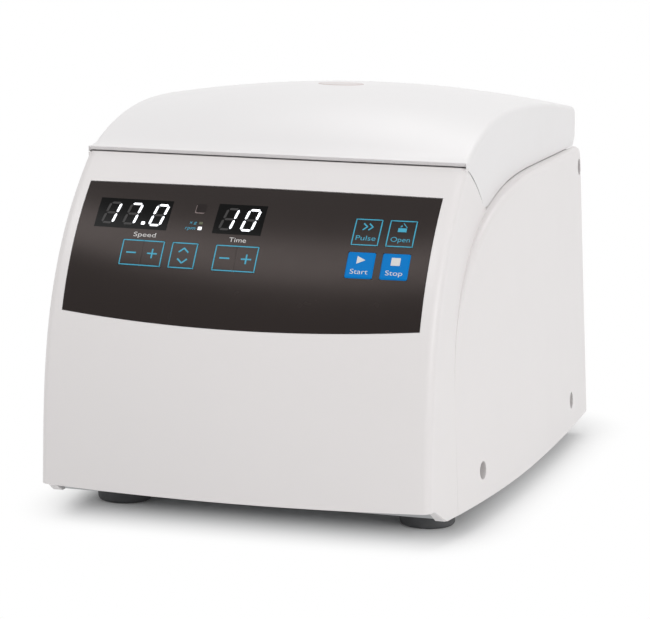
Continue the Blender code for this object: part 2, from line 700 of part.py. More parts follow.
def slope_factor(z):
    """How much further back a wall's inner face lies than its thickness, on the slope."""
    step = WALL
    slope = (front_y(1.0, z + step) - front_y(1.0, z - step)) / (2 * step)
    return np.sqrt(1.0 + slope ** 2)


def core_sections(inset):
    """Sections of the core across its width. An inset gives the hollow inside the wall."""
    foot_z = SIDE_BOTTOM_Z - (OVERRUN if inset else 0.0)
    face_z = np.linspace(FRONT_BOTTOM_Z, SEAM_Z - inset, PROFILE_POINTS)
    rear = REAR_Y - inset
    lip = LIP_REAR_Y - inset
    well_y = REAR_Y - HINGE_WELL_DEPTH - inset
    loops = []
    for share, step_in, back in full_stations():
        face_y = front_y(share, face_z) + inset * slope_factor(face_z) + back
        outline = [(rear, foot_z), (float(face_y[0]), foot_z)]
        outline += [(float(y), float(z)) for y, z in zip(face_y, face_z)]
        outline += [(lip + back, SEAM_Z - inset), (lip + back, DECK_Z - inset)]
        outline += [(well_y, DECK_Z - inset), (well_y, HINGE_WELL_Z - inset)]
        outline += [(rear, HINGE_WELL_Z - inset)]
        loops.append([(share * (float(core_half_width(y, z)) - inset) - step_in, y, z)
                      for y, z in outline])
    return loops


def flare_share(z):
    """How fully the strip beside the front face flares out to the cheek: none near the seam."""
    ease = np.clip((FLARE_HIGH_Z - z) / (FLARE_HIGH_Z - FLARE_LOW_Z), 0.0, 1.0)
    return ease * ease * (3.0 - 2.0 * ease)


def cheek_rim(inset):
    """The cheek's rim from its front foot round the arch and down the rear to the floor."""
    arch = arch_outline(-inset)
    corner = CHEEK_REAR_CORNER_RADIUS
    rear = REAR_Y - inset
    top = CHEEK_TOP_Z - inset
    foot = SIDE_BOTTOM_Z
    rim = [(CHEEK_FRONT_Y + inset, z) for z in np.linspace(foot, CHEEK_SPRING_Z, 4)[:-1]]
    rim += arch
    rim += [(y, top) for y in np.linspace(CHEEK_CROWN_Y, rear - corner, 4)[1:]]
    for share in CORNER_TURN_SHARES[1:]:
        turn = share * math.pi / 2
        rim.append((rear - corner + corner * math.sin(turn), top - corner + corner * math.cos(turn)))
    rim += [(rear, z) for z in np.linspace(top - corner, foot, 5)[1:-1]]
    return rim


def cheek_solid(name, side, inset, collection=cutters):
    """One cheek as a fan of columns from its rim to its foot, closed on the core's side."""
    rim = cheek_rim(inset)
    foot_z = SIDE_BOTTOM_Z - (OVERRUN if inset else 0.0)
    count = len(rim)
    rounding = 0.0 if inset else CHEEK_EDGE_RADIUS
    ring_steps = CHEEK_ROUNDING_SHARES if rounding else FLAT_RIM_SHARES
    outer, inner = [], []
    for index, (rim_y, rim_z) in enumerate(rim):
        share = index / (count - 1)
        foot_y = rim[0][0] + (rim[-1][0] - rim[0][0]) * share
        run = max(math.hypot(foot_y - rim_y, foot_z - rim_z), FIT_GAP)
        column = []
        for step, fall in ring_steps:
            mix = min(step * CHEEK_EDGE_RADIUS / run, 1.0)
            y = rim_y + (foot_y - rim_y) * mix
            z = rim_z + (foot_z - rim_z) * mix
            x = float(cheek_half_width(y, z)) - inset - fall * rounding
            floor = float(core_half_width(y, z)) + FIT_GAP
            column.append((max(x, floor) if not inset else x, y, z))
        for mix in CHEEK_COLUMN_SHARES:
            y = rim_y + (foot_y - rim_y) * mix
            z = rim_z + (foot_z - rim_z) * mix
            column.append((float(cheek_half_width(y, z)) - inset, y, z))
        outer.append(column)
        depth = SKIRT_CLEAR_HALF_WIDTH + EASY_GAP - (OVERRUN if inset else 0.0)
        inner.append([(depth, y, z) for _, y, z in column])
    bm = bmesh.new()
    front = [[bm.verts.new((side * x, y, z)) for x, y, z in column] for column in outer]
    back = [[bm.verts.new((side * x, y, z)) for x, y, z in column] for column in inner]
    rows = len(front[0])
    for grid in (front, back):
        for column, follow in zip(grid, grid[1:]):
            for row in range(rows - 1):
                bm.faces.new((column[row], column[row + 1], follow[row + 1], follow[row]))
    border = [(index, 0) for index in range(count)]
    border += [(count - 1, row) for row in range(1, rows)]
    border += [(index, rows - 1) for index in range(count - 2, -1, -1)]
    border += [(0, row) for row in range(rows - 2, 0, -1)]
    for here, there in zip(border, border[1:] + border[:1]):
        bm.faces.new((front[here[0]][here[1]], front[there[0]][there[1]],
                      back[there[0]][there[1]], back[here[0]][here[1]]))
    bmesh.ops.remove_doubles(bm, verts=bm.verts, dist=MERGE_DISTANCE)
    bmesh.ops.dissolve_degenerate(bm, edges=bm.edges, dist=MERGE_DISTANCE)
    return smooth(place_object(name, mesh_from(bm, name), None, collection))


def strip_solid(name, side):
    """The strip between the front face and the cheek, flaring out to meet the cheek's edge."""
    heights = np.linspace(SIDE_BOTTOM_Z, FLARE_HIGH_Z, STRIP_ROWS)
    loops = []
    for z in heights:
        start = float(front_y(1.0, z)) + CORNER_RADIUS
        end = float(arch_y(z)) + WALL / 2
        outer = []
        for share in STRIP_COLUMN_SHARES:
            y = start + (end - start) * share
            core = float(core_half_width(y, z))
            crest = max(float(cheek_half_width(end, z)) - FIT_GAP, core)
            outer.append((core - FIT_GAP + (crest - core) * float(flare_share(z)) * share, y))
        inner_x = CORE_TOP_HALF_WIDTH - WALL / 2
        loop = [(side * x, y, z) for x, y in outer]
        loop += [(side * inner_x, end, z), (side * inner_x, start, z)]
        loops.append(loop)
    return loft(name, loops, None, cutters)


# Housing

def screw_places():
    """The six screws in the sides, as a name, the side and the place in Y and Z."""
    spots = (("front", FRONT_SCREW_Y, LOW_SCREW_Z), ("rear", REAR_SCREW_Y, LOW_SCREW_Z),
             ("top", HIGH_SCREW_Y, HIGH_SCREW_Z))
    return [(f"{spot}_{hand}", side, y, z) for hand, side in (("left", -1), ("right", 1))
            for spot, y, z in spots]


def shoulder_solid(name, side):
    """The wall behind the front lip, which carries the side up to the lid's swooping edge."""
    foot = DECK_Z - WALL
    line = [(y, z) for y, z in swoop_outline() if z > foot]
    outline = [(LIP_REAR_Y - EASY_GAP, foot)] + line + [(line[-1][0], foot)]
    outer = [(side * float(core_half_width(y, z)), y, z) for y, z in outline]
    inner = [(side * SKIRT_CLEAR_HALF_WIDTH, y, z) for y, z in outline]
    return loft(name, [outer, inner], None, cutters)


def make_housing():
    """The outer moulding: core, strips and cheeks joined, then hollowed and opened."""
    housing = loft("housing", core_sections(0.0), WHITE)
    for hand, side in (("left", -1), ("right", 1)):
        join(housing, strip_solid(f"strip_{hand}", side))
        join(housing, cheek_solid(f"cheek_{hand}", side, 0.0))
        join(housing, shoulder_solid(f"shoulder_{hand}", side))
    cut(housing, loft("core_hollow", core_sections(WALL), None, cutters))
    for hand, side in (("left", -1), ("right", 1)):
        cut(housing, cheek_solid(f"cheek_hollow_{hand}", side, WALL))
    for spot, side, y, z in screw_places():
        surface = float(cheek_half_width(y, z))
        deep = surface - SCREW_BOSS_DEPTH
        join_rod(housing, f"boss_{spot}", (side * deep, y, z), (side * (surface - WALL / 2), y, z),
                 SCREW_BOSS_RADIUS)
        cut_rod(housing, f"recess_{spot}", (side * (surface - SCREW_RECESS_DEPTH), y, z),
                (side * (surface + OVERRUN), y, z), SCREW_RECESS_RADIUS)
        cut_rod(housing, f"pilot_{spot}", (side * (deep - OVERRUN), y, z),
                (side * (surface + OVERRUN), y, z), SCREW_SHANK_RADIUS + FIT_GAP)
    undercut_y = FRONT_Y + UNDERCUT_FRONT_RUN
    slope_y = undercut_y + UNDERCUT_SLOPE_RUN
    undercut = [(FRONT_Y - OVERRUN, FRONT_BOTTOM_Z), (undercut_y, FRONT_BOTTOM_Z),
                (slope_y, SIDE_BOTTOM_Z), (slope_y, SIDE_BOTTOM_Z - OVERRUN),
                (FRONT_Y - OVERRUN, SIDE_BOTTOM_Z - OVERRUN)]
    cut(housing, prism("front_undercut", undercut, -BODY_WIDTH, BODY_WIDTH, None, cutters))
    skirt = skirt_outline(FIT_GAP)
    skirt += [(REAR_Y + OVERRUN, skirt[-1][1]), (REAR_Y + OVERRUN, HEIGHT + OVERRUN),
              (skirt[0][0], HEIGHT + OVERRUN)]
    for hand, side in (("left", -1), ("right", 1)):
        inner, outer = side * SKIRT_CLEAR_HALF_WIDTH, side * BODY_WIDTH
        cut(housing, prism(f"skirt_room_{hand}", skirt, min(inner, outer), max(inner, outer),
                           None, cutters))
    well_half = CORE_TOP_HALF_WIDTH - CORE_REAR_TAPER / 2
    cut_box(housing, "hinge_well", (-well_half, REAR_Y - HINGE_WELL_DEPTH, HINGE_WELL_Z),
            (well_half, REAR_Y + OVERRUN, HEIGHT))
    cut_rod(housing, "chamber_hole", (0, ROTOR_AXIS_Y, DECK_Z - OVERRUN),
            (0, ROTOR_AXIS_Y, DECK_Z + OVERRUN), CHAMBER_HOLE_RADIUS, ROUND_STEPS)
    cut_box(housing, "latch_slot",
            (-LATCH_SLOT_LENGTH / 2, LATCH_Y - LATCH_SLOT_WIDTH / 2, DECK_Z - OVERRUN),
            (LATCH_SLOT_LENGTH / 2, LATCH_Y + LATCH_SLOT_WIDTH / 2, DECK_Z + OVERRUN))
    board_posts(housing)
    panel_seat = PANEL_THICKNESS + PANEL_SEAT_GAP
    cut(housing, panel_patch("panel_seat", panel_seat, OVERRUN / 4, FIT_GAP, cutters))
    for name, low_x, high_x in display_spans():
        cut(housing, display_block(f"{name}_opening", low_x, high_x, EASY_GAP, cutters, True))
    for name, x, z, width, _ in key_list():
        cut(housing, key_block(f"{name}_pocket", x, z, width, FIT_GAP,
                               KEY_THICKNESS + KEY_TRAVEL + FIT_GAP, cutters))
    seat = REAR_PANEL_SEAT
    cut_box(housing, "rear_panel_opening",
            (-REAR_PANEL_HALF_WIDTH + seat, REAR_Y - OVERRUN, REAR_PANEL_BOTTOM_Z + seat),
            (REAR_PANEL_HALF_WIDTH - seat, REAR_Y + OVERRUN, REAR_PANEL_TOP_Z - seat))


# Control panel

def surface_frame(x, z):
    """A point on the front face with its tangent across, its tangent upwards and its normal."""
    step = FIT_GAP
    def point(px, pz):
        half = float(core_half_width(CORNER_Y, pz))
        return Vector((px, float(front_y(px / half, pz)), pz))
    across = (point(x + step, z) - point(x - step, z)).normalized()
    upward = (point(x, z + step) - point(x, z - step)).normalized()
    normal = across.cross(upward).normalized()
    upward = normal.cross(across).normalized()
    return point(x, z), across, upward, normal


def panel_patch(name, depth, proud, grow, collection, material=None):
    """The panel's outline laid on the front face, between two offsets from the surface."""
    shares = np.linspace(-1.0, 1.0, PANEL_COLUMNS)
    rises = np.linspace(0.0, 1.0, PANEL_ROWS)
    loops = []
    for share in shares:
        low = PANEL_BOTTOM_Z - grow - PANEL_BOTTOM_ARC * (1.0 - share ** 2)
        high = PANEL_TOP_Z + grow + PANEL_TOP_ARC * (1.0 - share ** 2)
        x = share * (PANEL_HALF_WIDTH + grow)
        frames = [surface_frame(x, low + (high - low) * rise) for rise in rises]
        outer = [base + normal * proud for base, _, _, normal in frames]
        inner = [base - normal * depth for base, _, _, normal in frames]
        loops.append(outer + list(reversed(inner)))
    return loft(name, loops, material, collection)


def oriented_block(name, place, across, upward, normal, size, collection, material=None):
    """A block whose sides follow three given directions."""
    bm = bmesh.new()
    bmesh.ops.create_cube(bm, size=1.0)
    bmesh.ops.scale(bm, vec=size, verts=bm.verts)
    thing = place_object(name, mesh_from(bm, name), material, collection)
    turn = Matrix((across, upward, normal)).transposed()
    thing.matrix_world = Matrix.Translation(place) @ turn.to_4x4()
    return thing


def display_spans():
    """The two number displays, as a name with the left and right edge."""
    return (("speed_display", SPEED_DISPLAY_LEFT_X, SPEED_DISPLAY_LEFT_X + SPEED_DISPLAY_WIDTH),
            ("time_display", TIME_DISPLAY_LEFT_X, TIME_DISPLAY_LEFT_X + TIME_DISPLAY_WIDTH))


def display_height():
    """The displays' height along the sloping face."""
    low = surface_frame(0.0, DISPLAY_BOTTOM_Z)[0]
    high = surface_frame(0.0, DISPLAY_TOP_Z)[0]
    return (high - low).length


def board_frame():
    """The control board's front face: a point on it, its two directions and its normal."""
    centre_z = (DISPLAY_TOP_Z + DISPLAY_BOTTOM_Z) / 2
    base, _, _, normal = surface_frame(0.0, centre_z)
    across = Vector((1, 0, 0))
    upward = normal.cross(across).normalized()
    outward = across.cross(upward)
    face = base - outward * (PANEL_THICKNESS + DISPLAY_INSET + DISPLAY_DEPTH + FIT_GAP)
    return face, across, upward, outward


def display_block(name, low_x, high_x, grow, collection, opening=False, material=None):
    """A display standing on the control board behind the film, or the opening it looks through."""
    face, across, upward, outward = board_frame()
    middle = (low_x + high_x) / 2
    base = surface_frame(middle, (DISPLAY_TOP_Z + DISPLAY_BOTTOM_Z) / 2)[0]
    reach = (base - face).dot(outward)
    front = reach + OVERRUN / 4 if opening else reach - PANEL_THICKNESS - DISPLAY_INSET
    back = -OVERRUN / 4 if opening else FIT_GAP
    size = (high_x - low_x + 2 * grow, display_height() + 2 * grow, front - back)
    along = base - outward * reach
    place = along + outward * (front + back) / 2
    return oriented_block(name, place, across, upward, outward, size, collection, material)


def key_list():
    """The nine keys, as name, place across, height, width and finish."""
    return (("key_speed_minus", SPEED_MINUS_X, KEY_ROW_Z, PAIR_KEY_WIDTH, KEY_FILM),
            ("key_speed_plus", SPEED_PLUS_X, KEY_ROW_Z, PAIR_KEY_WIDTH, KEY_FILM),
            ("key_unit", UNIT_KEY_X, KEY_ROW_Z, KEY_WIDTH, KEY_FILM),
            ("key_time_minus", TIME_MINUS_X, KEY_ROW_Z, PAIR_KEY_WIDTH, KEY_FILM),
            ("key_time_plus", TIME_PLUS_X, KEY_ROW_Z, PAIR_KEY_WIDTH, KEY_FILM),
            ("key_pulse", START_X, UPPER_KEY_ROW_Z, KEY_WIDTH, KEY_FILM),
            ("key_open", STOP_X, UPPER_KEY_ROW_Z, KEY_WIDTH, KEY_FILM),
            ("key_start", START_X, KEY_ROW_Z, KEY_WIDTH, BLUE_KEY),
            ("key_stop", STOP_X, KEY_ROW_Z, KEY_WIDTH, BLUE_KEY))


def key_block(name, x, z, width, grow, depth, collection, material=None):
    """A key's block, or grown and deepened the pocket that it sits in."""
    base, across, upward, normal = surface_frame(x, z)
    proud = KEY_PROUD if not grow else OVERRUN / 4
    size = (width + 2 * grow, KEY_HEIGHT + 2 * grow, depth + proud)
    place = base + normal * (proud - (depth + proud) / 2)
    return oriented_block(name, place, across, upward, normal, size, collection, material)


def make_panel():
    """The film overlay with its key openings, the keys, the displays and their board."""
    overlay = panel_patch("keypad_overlay", PANEL_THICKNESS, 0.0, 0.0, parts, FILM)
    for name, x, z, width, material in key_list():
        cut(overlay, key_block(f"{name}_window", x, z, width, FIT_GAP,
                               KEY_THICKNESS + KEY_TRAVEL, cutters))
        key = key_block(name, x, z, width, 0.0, KEY_THICKNESS, parts, material)
        add_bevel(key, KEY_PROUD, 1)
    for name, low_x, high_x in display_spans():
        display_block(name, low_x, high_x, 0.0, parts, False, DISPLAY)
    face, across, upward, outward = board_frame()
    size = (2 * BOARD_HALF_WIDTH, display_height() + 2 * BOARD_MARGIN, BOARD_THICKNESS)
    oriented_block("control_board", face - outward * BOARD_THICKNESS / 2, across, upward, outward, size,
                   parts, BOARD)


def board_posts(housing):
    """Four posts on the front wall's inner face, which carry the control board."""
    face, across, upward, outward = board_frame()
    for x in (-BOARD_HALF_WIDTH + BOARD_MARGIN / 2, BOARD_HALF_WIDTH - BOARD_MARGIN / 2):
        for lift in (-1, 1):
            height = lift * (display_height() / 2 + BOARD_MARGIN / 2)
            foot = face + across * x + upward * height + outward * FIT_GAP
            wall = surface_frame(x, foot.z)[0]
            reach = (wall - foot).dot(outward) - WALL / 2
            join_rod(housing, f"board_post_{x:.3f}_{lift}", foot, foot + outward * reach,
                     BOARD_MARGIN / 2, SMALL_STEPS - 4)


# Lid

def lid_edge_z(y):
    """Height of the lid's side edge: steep from the seam, level over the rotor, then falling."""
    y = np.asarray(y, float)
    front_run = LID_PEAK_Y - SEAM_Y
    rear_run = LID_REAR_Y - LID_PEAK_Y
    front_drop = LID_EDGE_HEIGHT - SEAM_Z - LID_SEAM_GAP
    front_share = np.clip((LID_PEAK_Y - y) / front_run, 0.0, 1.0)
    rear_share = np.clip((y - LID_PEAK_Y) / rear_run, 0.0, 1.0)
    front = LID_EDGE_HEIGHT - front_drop * front_share ** LID_FRONT_DROP_POWER_SHARE
    rear = LID_EDGE_HEIGHT - LID_REAR_DROP * rear_share ** LID_REAR_DROP_POWER_SHARE
    return np.where(y < LID_PEAK_Y, front, rear)


def lid_crown(share, y):
    """The dome's extra height at a share of the width, fading to none at the seam."""
    front_run = LID_PEAK_Y - SEAM_Y
    fade = 1.0 - np.clip((LID_PEAK_Y - np.asarray(y, float)) / front_run, 0.0, 1.0) ** 4
    return LID_CROWN * (1.0 - share ** 2) * fade


def lid_sections(inset):
    """Sections of the lid across its width. An inset gives the hollow under the dome."""
    start = SEAM_Y + inset * 2
    end = LID_REAR_Y - inset
    spread = 1.0 - np.cos(np.linspace(0.0, math.pi / 2, PROFILE_POINTS))
    top_y = start + (LID_PEAK_Y - start) * spread
    top_y = np.concatenate([top_y, np.linspace(LID_PEAK_Y, end - LID_EDGE_RADIUS, 7)[1:]])
    foot = DECK_Z - OVERRUN
    loops = []
    stations = [(share, 0.0, 0.0) for share in SECTION_SHARES]
    for turn_share in CORNER_TURN_SHARES:
        turn = turn_share * math.pi / 2
        stations.append((1.0, LID_EDGE_RADIUS * (1.0 - math.sin(turn)),
                         LID_EDGE_RADIUS * (1.0 - math.cos(turn))))
    left = [(-share, -step_in, down) for share, step_in, down in reversed(stations)]
    for share, step_in, down in left + stations[1:]:
        top = lid_edge_z(top_y) + lid_crown(abs(share), top_y) - inset
        fade = np.clip((top_y - start) / (LID_EDGE_RADIUS * LID_EDGE_FADE_SHARE), 0.0, 1.0)
        top = top - down * fade
        rear_top = float(top[-1])
        outline = [(float(y), float(z)) for y, z in zip(top_y, top)]
        for turn_share in CORNER_TURN_SHARES[1:]:
            turn = turn_share * math.pi / 2
            outline.append((end - LID_EDGE_RADIUS + LID_EDGE_RADIUS * math.sin(turn),
                            rear_top - LID_EDGE_RADIUS * (1.0 - math.cos(turn))))
        outline.append((end, LID_REAR_WALL_FOOT_Z))
        outline.append((end - LID_REAR_BEVEL_RUN * LID_REAR_BEVEL_OVER_SHARE, foot))
        outline.append((start, foot))
        loops.append([(share * (float(core_half_width(y, z)) - inset) - step_in, y, z)
                      for y, z in outline])
    return loops


def make_lid():
    """The domed outer lid, parted from the housing along seam, swoop and arch."""
    lid = loft("lid_shell", lid_sections(0.0), WHITE)
    cut(lid, loft("lid_hollow", lid_sections(LID_WALL), None, cutters))
    line = skirt_outline(LID_SEAM_GAP / 2)
    below = [(SEAM_Y - OVERRUN, SEAM_Z + LID_SEAM_GAP)] + line
    below += [(REAR_Y + OVERRUN, line[-1][1]), (REAR_Y + OVERRUN, DECK_Z - 2 * OVERRUN),
              (SEAM_Y - OVERRUN, DECK_Z - 2 * OVERRUN)]
    cut(lid, prism("below_lid", below, -BODY_WIDTH, BODY_WIDTH, None, cutters))
    lip_half = SKIRT_CLEAR_HALF_WIDTH + EASY_GAP
    cut_box(lid, "lip_room", (-lip_half, SEAM_Y - OVERRUN, DECK_Z - OVERRUN),
            (lip_half, LIP_REAR_Y + EASY_GAP, SEAM_Z + LID_SEAM_GAP))
    centre = Vector((0.0, ROTOR_AXIS_Y, 0.0))
    cut_rod(lid, "port_opening", centre + Vector((0, 0, DECK_Z)), centre + Vector((0, 0, HEIGHT + OVERRUN)),
            PORT_RADIUS - PORT_SEAT_WIDTH, ROUND_STEPS)
    port_z = float(lid_edge_z(ROTOR_AXIS_Y) + LID_CROWN)
    cut_rod(lid, "port_seat", centre + Vector((0, 0, port_z - PORT_THICKNESS - FIT_GAP)),
            centre + Vector((0, 0, HEIGHT + OVERRUN)), PORT_RADIUS + FIT_GAP, ROUND_STEPS)
    for hand, side in (("left", -1), ("right", 1)):
        middle = side * HINGE_SPACING / 2
        half = HINGE_EAR_THICKNESS / 2 + EASY_GAP
        cut_box(lid, f"ear_slot_{hand}", (middle - half, HINGE_AXIS_Y - HINGE_WELL_DEPTH, DECK_Z - OVERRUN),
                (middle + half, REAR_Y + OVERRUN, HINGE_AXIS_Z + 2 * HINGE_EAR_RADIUS))
    make_lid_posts(lid)
    profile = [(0.0, port_z), (PORT_RADIUS - PORT_SEAT_WIDTH, port_z - FIT_GAP / 3),
               (PORT_RADIUS, port_z - FIT_GAP), (PORT_RADIUS, port_z - PORT_THICKNESS),
               (0.0, port_z - PORT_THICKNESS)]
    turned("sight_port_window", profile, (0, ROTOR_AXIS_Y, 0), GLASS)


def make_lid_posts(lid):
    """Posts under the dome, to which the liner is screwed."""
    top_of_liner = LID_LINER_Z + LID_LINER_THICKNESS + FIT_GAP
    for spot, y in (("front", LID_POST_FRONT_Y), ("rear", LID_POST_REAR_Y)):
        for hand, side in (("left", -1), ("right", 1)):
            x = side * LID_POST_X
            dome = float(lid_edge_z(y) + lid_crown(LID_POST_X / CORE_TOP_HALF_WIDTH, y))
            join_rod(lid, f"lid_post_{spot}_{hand}", (x, y, top_of_liner), (x, y, dome - LID_WALL / 2),
                     LID_POST_RADIUS)


def make_lid_liner():
    """The inner lid: a pressed tray over the chamber, with hinge lugs and a striker seat."""
    inner_half = SKIRT_CLEAR_HALF_WIDTH - 2 * EASY_GAP
    low_y = LIP_REAR_Y + 2 * EASY_GAP
    high_y = HINGE_AXIS_Y - HINGE_EAR_RADIUS - EASY_GAP
    liner = box("lid_liner", (-inner_half, low_y, LID_LINER_Z),
                (inner_half, high_y, LID_LINER_Z + LID_LINER_THICKNESS), LINER)
    ridge_top = LID_LINER_Z + LID_LINER_THICKNESS + LID_LINER_RIM
    join_rod(liner, "liner_hub", (0, ROTOR_AXIS_Y, LID_LINER_Z),
             (0, ROTOR_AXIS_Y, ridge_top), PORT_RADIUS + LID_WALL, ROUND_STEPS)
    cut_rod(liner, "liner_port", (0, ROTOR_AXIS_Y, LID_LINER_Z - OVERRUN),
            (0, ROTOR_AXIS_Y, ridge_top + OVERRUN), PORT_RADIUS - PORT_SEAT_WIDTH, ROUND_STEPS)
    for hand, side in (("left", -1), ("right", 1)):
        for place, direction in (("inner", -side), ("outer", side)):
            near = side * HINGE_SPACING / 2 + direction * (HINGE_EAR_THICKNESS / 2 + EASY_GAP)
            far = near + direction * HINGE_LUG_THICKNESS
            low_x, high_x = min(near, far), max(near, far)
            join_box(liner, f"lug_arm_{hand}_{place}",
                     (low_x, high_y - 2 * HINGE_EAR_RADIUS, LID_LINER_Z + FIT_GAP),
                     (high_x, HINGE_AXIS_Y, HINGE_AXIS_Z + HINGE_EAR_RADIUS - EASY_GAP))
            join_rod(liner, f"lug_eye_{hand}_{place}", (low_x, HINGE_AXIS_Y, HINGE_AXIS_Z),
                     (high_x, HINGE_AXIS_Y, HINGE_AXIS_Z), HINGE_EAR_RADIUS)
        near = side * HINGE_SPACING / 2
        cut_rod(liner, f"lug_bore_{hand}", (near - OVERRUN, HINGE_AXIS_Y, HINGE_AXIS_Z),
                (near + OVERRUN, HINGE_AXIS_Y, HINGE_AXIS_Z), HINGE_PIN_RADIUS + FIT_GAP)
        half = HINGE_EAR_THICKNESS / 2 + FIT_GAP
        cut_box(liner, f"ear_room_{hand}",
                (near - half, high_y - 2 * HINGE_EAR_RADIUS, LID_LINER_Z - OVERRUN),
                (near + half, REAR_Y, HINGE_AXIS_Z + OVERRUN))


def make_gasket():
    """The seal that hangs under the liner and closes on the bowl's flange."""
    inner = BOWL_RADIUS + BOWL_FLANGE_WIDTH - GASKET_WIDTH
    outer = BOWL_RADIUS + BOWL_FLANGE_WIDTH
    top = LID_LINER_Z - FIT_GAP
    bottom = BOWL_RIM_Z + FIT_GAP
    profile = [(inner, top), (outer, top), (outer, bottom + GASKET_HEIGHT / 4),
               (outer - GASKET_WIDTH / 4, bottom), (inner + GASKET_WIDTH / 4, bottom),
               (inner, bottom + GASKET_HEIGHT / 4)]
    turned("lid_gasket", profile, (0, ROTOR_AXIS_Y, 0), RUBBER, closed=True)


def make_hinges():
    """Two brackets on the housing's deck, each with an ear, and the pins through them."""
    for hand, side in (("left", -1), ("right", 1)):
        middle = side * HINGE_SPACING / 2
        half = HINGE_EAR_THICKNESS / 2
        floor = HINGE_WELL_Z + FIT_GAP
        bracket = box(f"hinge_bracket_{hand}",
                      (middle - HINGE_BASE_LENGTH / 2, REAR_Y - HINGE_WELL_DEPTH + EASY_GAP, floor),
                      (middle + HINGE_BASE_LENGTH / 2, HINGE_AXIS_Y - HINGE_EAR_RADIUS + FIT_GAP,
                       floor + HINGE_BASE_THICKNESS), STEEL)
        join_box(bracket, f"ear_neck_{hand}",
                 (middle - half, HINGE_AXIS_Y - HINGE_EAR_RADIUS, floor),
                 (middle + half, HINGE_AXIS_Y + HINGE_EAR_RADIUS, HINGE_AXIS_Z))
        join_rod(bracket, f"ear_round_{hand}", (middle - half, HINGE_AXIS_Y, HINGE_AXIS_Z),
                 (middle + half, HINGE_AXIS_Y, HINGE_AXIS_Z), HINGE_EAR_RADIUS)
        cut_rod(bracket, f"ear_bore_{hand}", (middle - OVERRUN, HINGE_AXIS_Y, HINGE_AXIS_Z),
                (middle + OVERRUN, HINGE_AXIS_Y, HINGE_AXIS_Z), HINGE_PIN_RADIUS + FIT_GAP)
        rod(f"hinge_pin_{hand}", (middle - HINGE_PIN_LENGTH / 2, HINGE_AXIS_Y, HINGE_AXIS_Z),
            (middle + HINGE_PIN_LENGTH / 2, HINGE_AXIS_Y, HINGE_AXIS_Z), HINGE_PIN_RADIUS, STEEL)


# Latch

def make_striker():
    """A wire loop under the front of the lid, on a foot screwed to the liner."""
    half = STRIKER_WIDTH / 2
    top = LID_LINER_Z - FIT_GAP
    foot_half = half + 2 * STRIKER_ROD_RADIUS
    striker = box("lid_striker",
                  (-foot_half, LATCH_Y - LATCH_SLOT_WIDTH / 2, top - HINGE_BASE_THICKNESS),
                  (foot_half, LATCH_Y + LATCH_SLOT_WIDTH / 2, top), STEEL)
    for hand, x in (("left", -half), ("right", half)):
        join_rod(striker, f"striker_leg_{hand}", (x, LATCH_Y, STRIKER_BAR_Z),
                 (x, LATCH_Y, top - HINGE_BASE_THICKNESS / 2), STRIKER_ROD_RADIUS)
    reach = half + STRIKER_ROD_RADIUS
    join_rod(striker, "striker_bar", (-reach, LATCH_Y, STRIKER_BAR_Z), (reach, LATCH_Y, STRIKER_BAR_Z),
             STRIKER_ROD_RADIUS, SMALL_STEPS + 2)


def hook_outline():
    """The hook in Y and Z about its pin: a boss, an upright arm, a nose and a tail."""
    boss = LATCH_HOOK_BOSS_RADIUS
    nose = LATCH_NOSE_THICKNESS
    nose_low = STRIKER_BAR_Z + STRIKER_ROD_RADIUS + EASY_GAP - LATCH_PIVOT_Z
    nose_high = nose_low + nose
    nose_tip = LATCH_Y + 2 * STRIKER_ROD_RADIUS - LATCH_PIVOT_Y
    tail = -boss - LATCH_TAIL_LENGTH
    slim = boss / 2
    return [(boss, -slim), (boss, nose_low), (nose_tip, nose_low), (nose_tip, nose_low + nose / 2),
            (nose_tip - nose / 2, nose_high), (-slim, nose_high), (-slim, boss), (tail, slim),
            (tail, -slim), (0.0, -boss)]


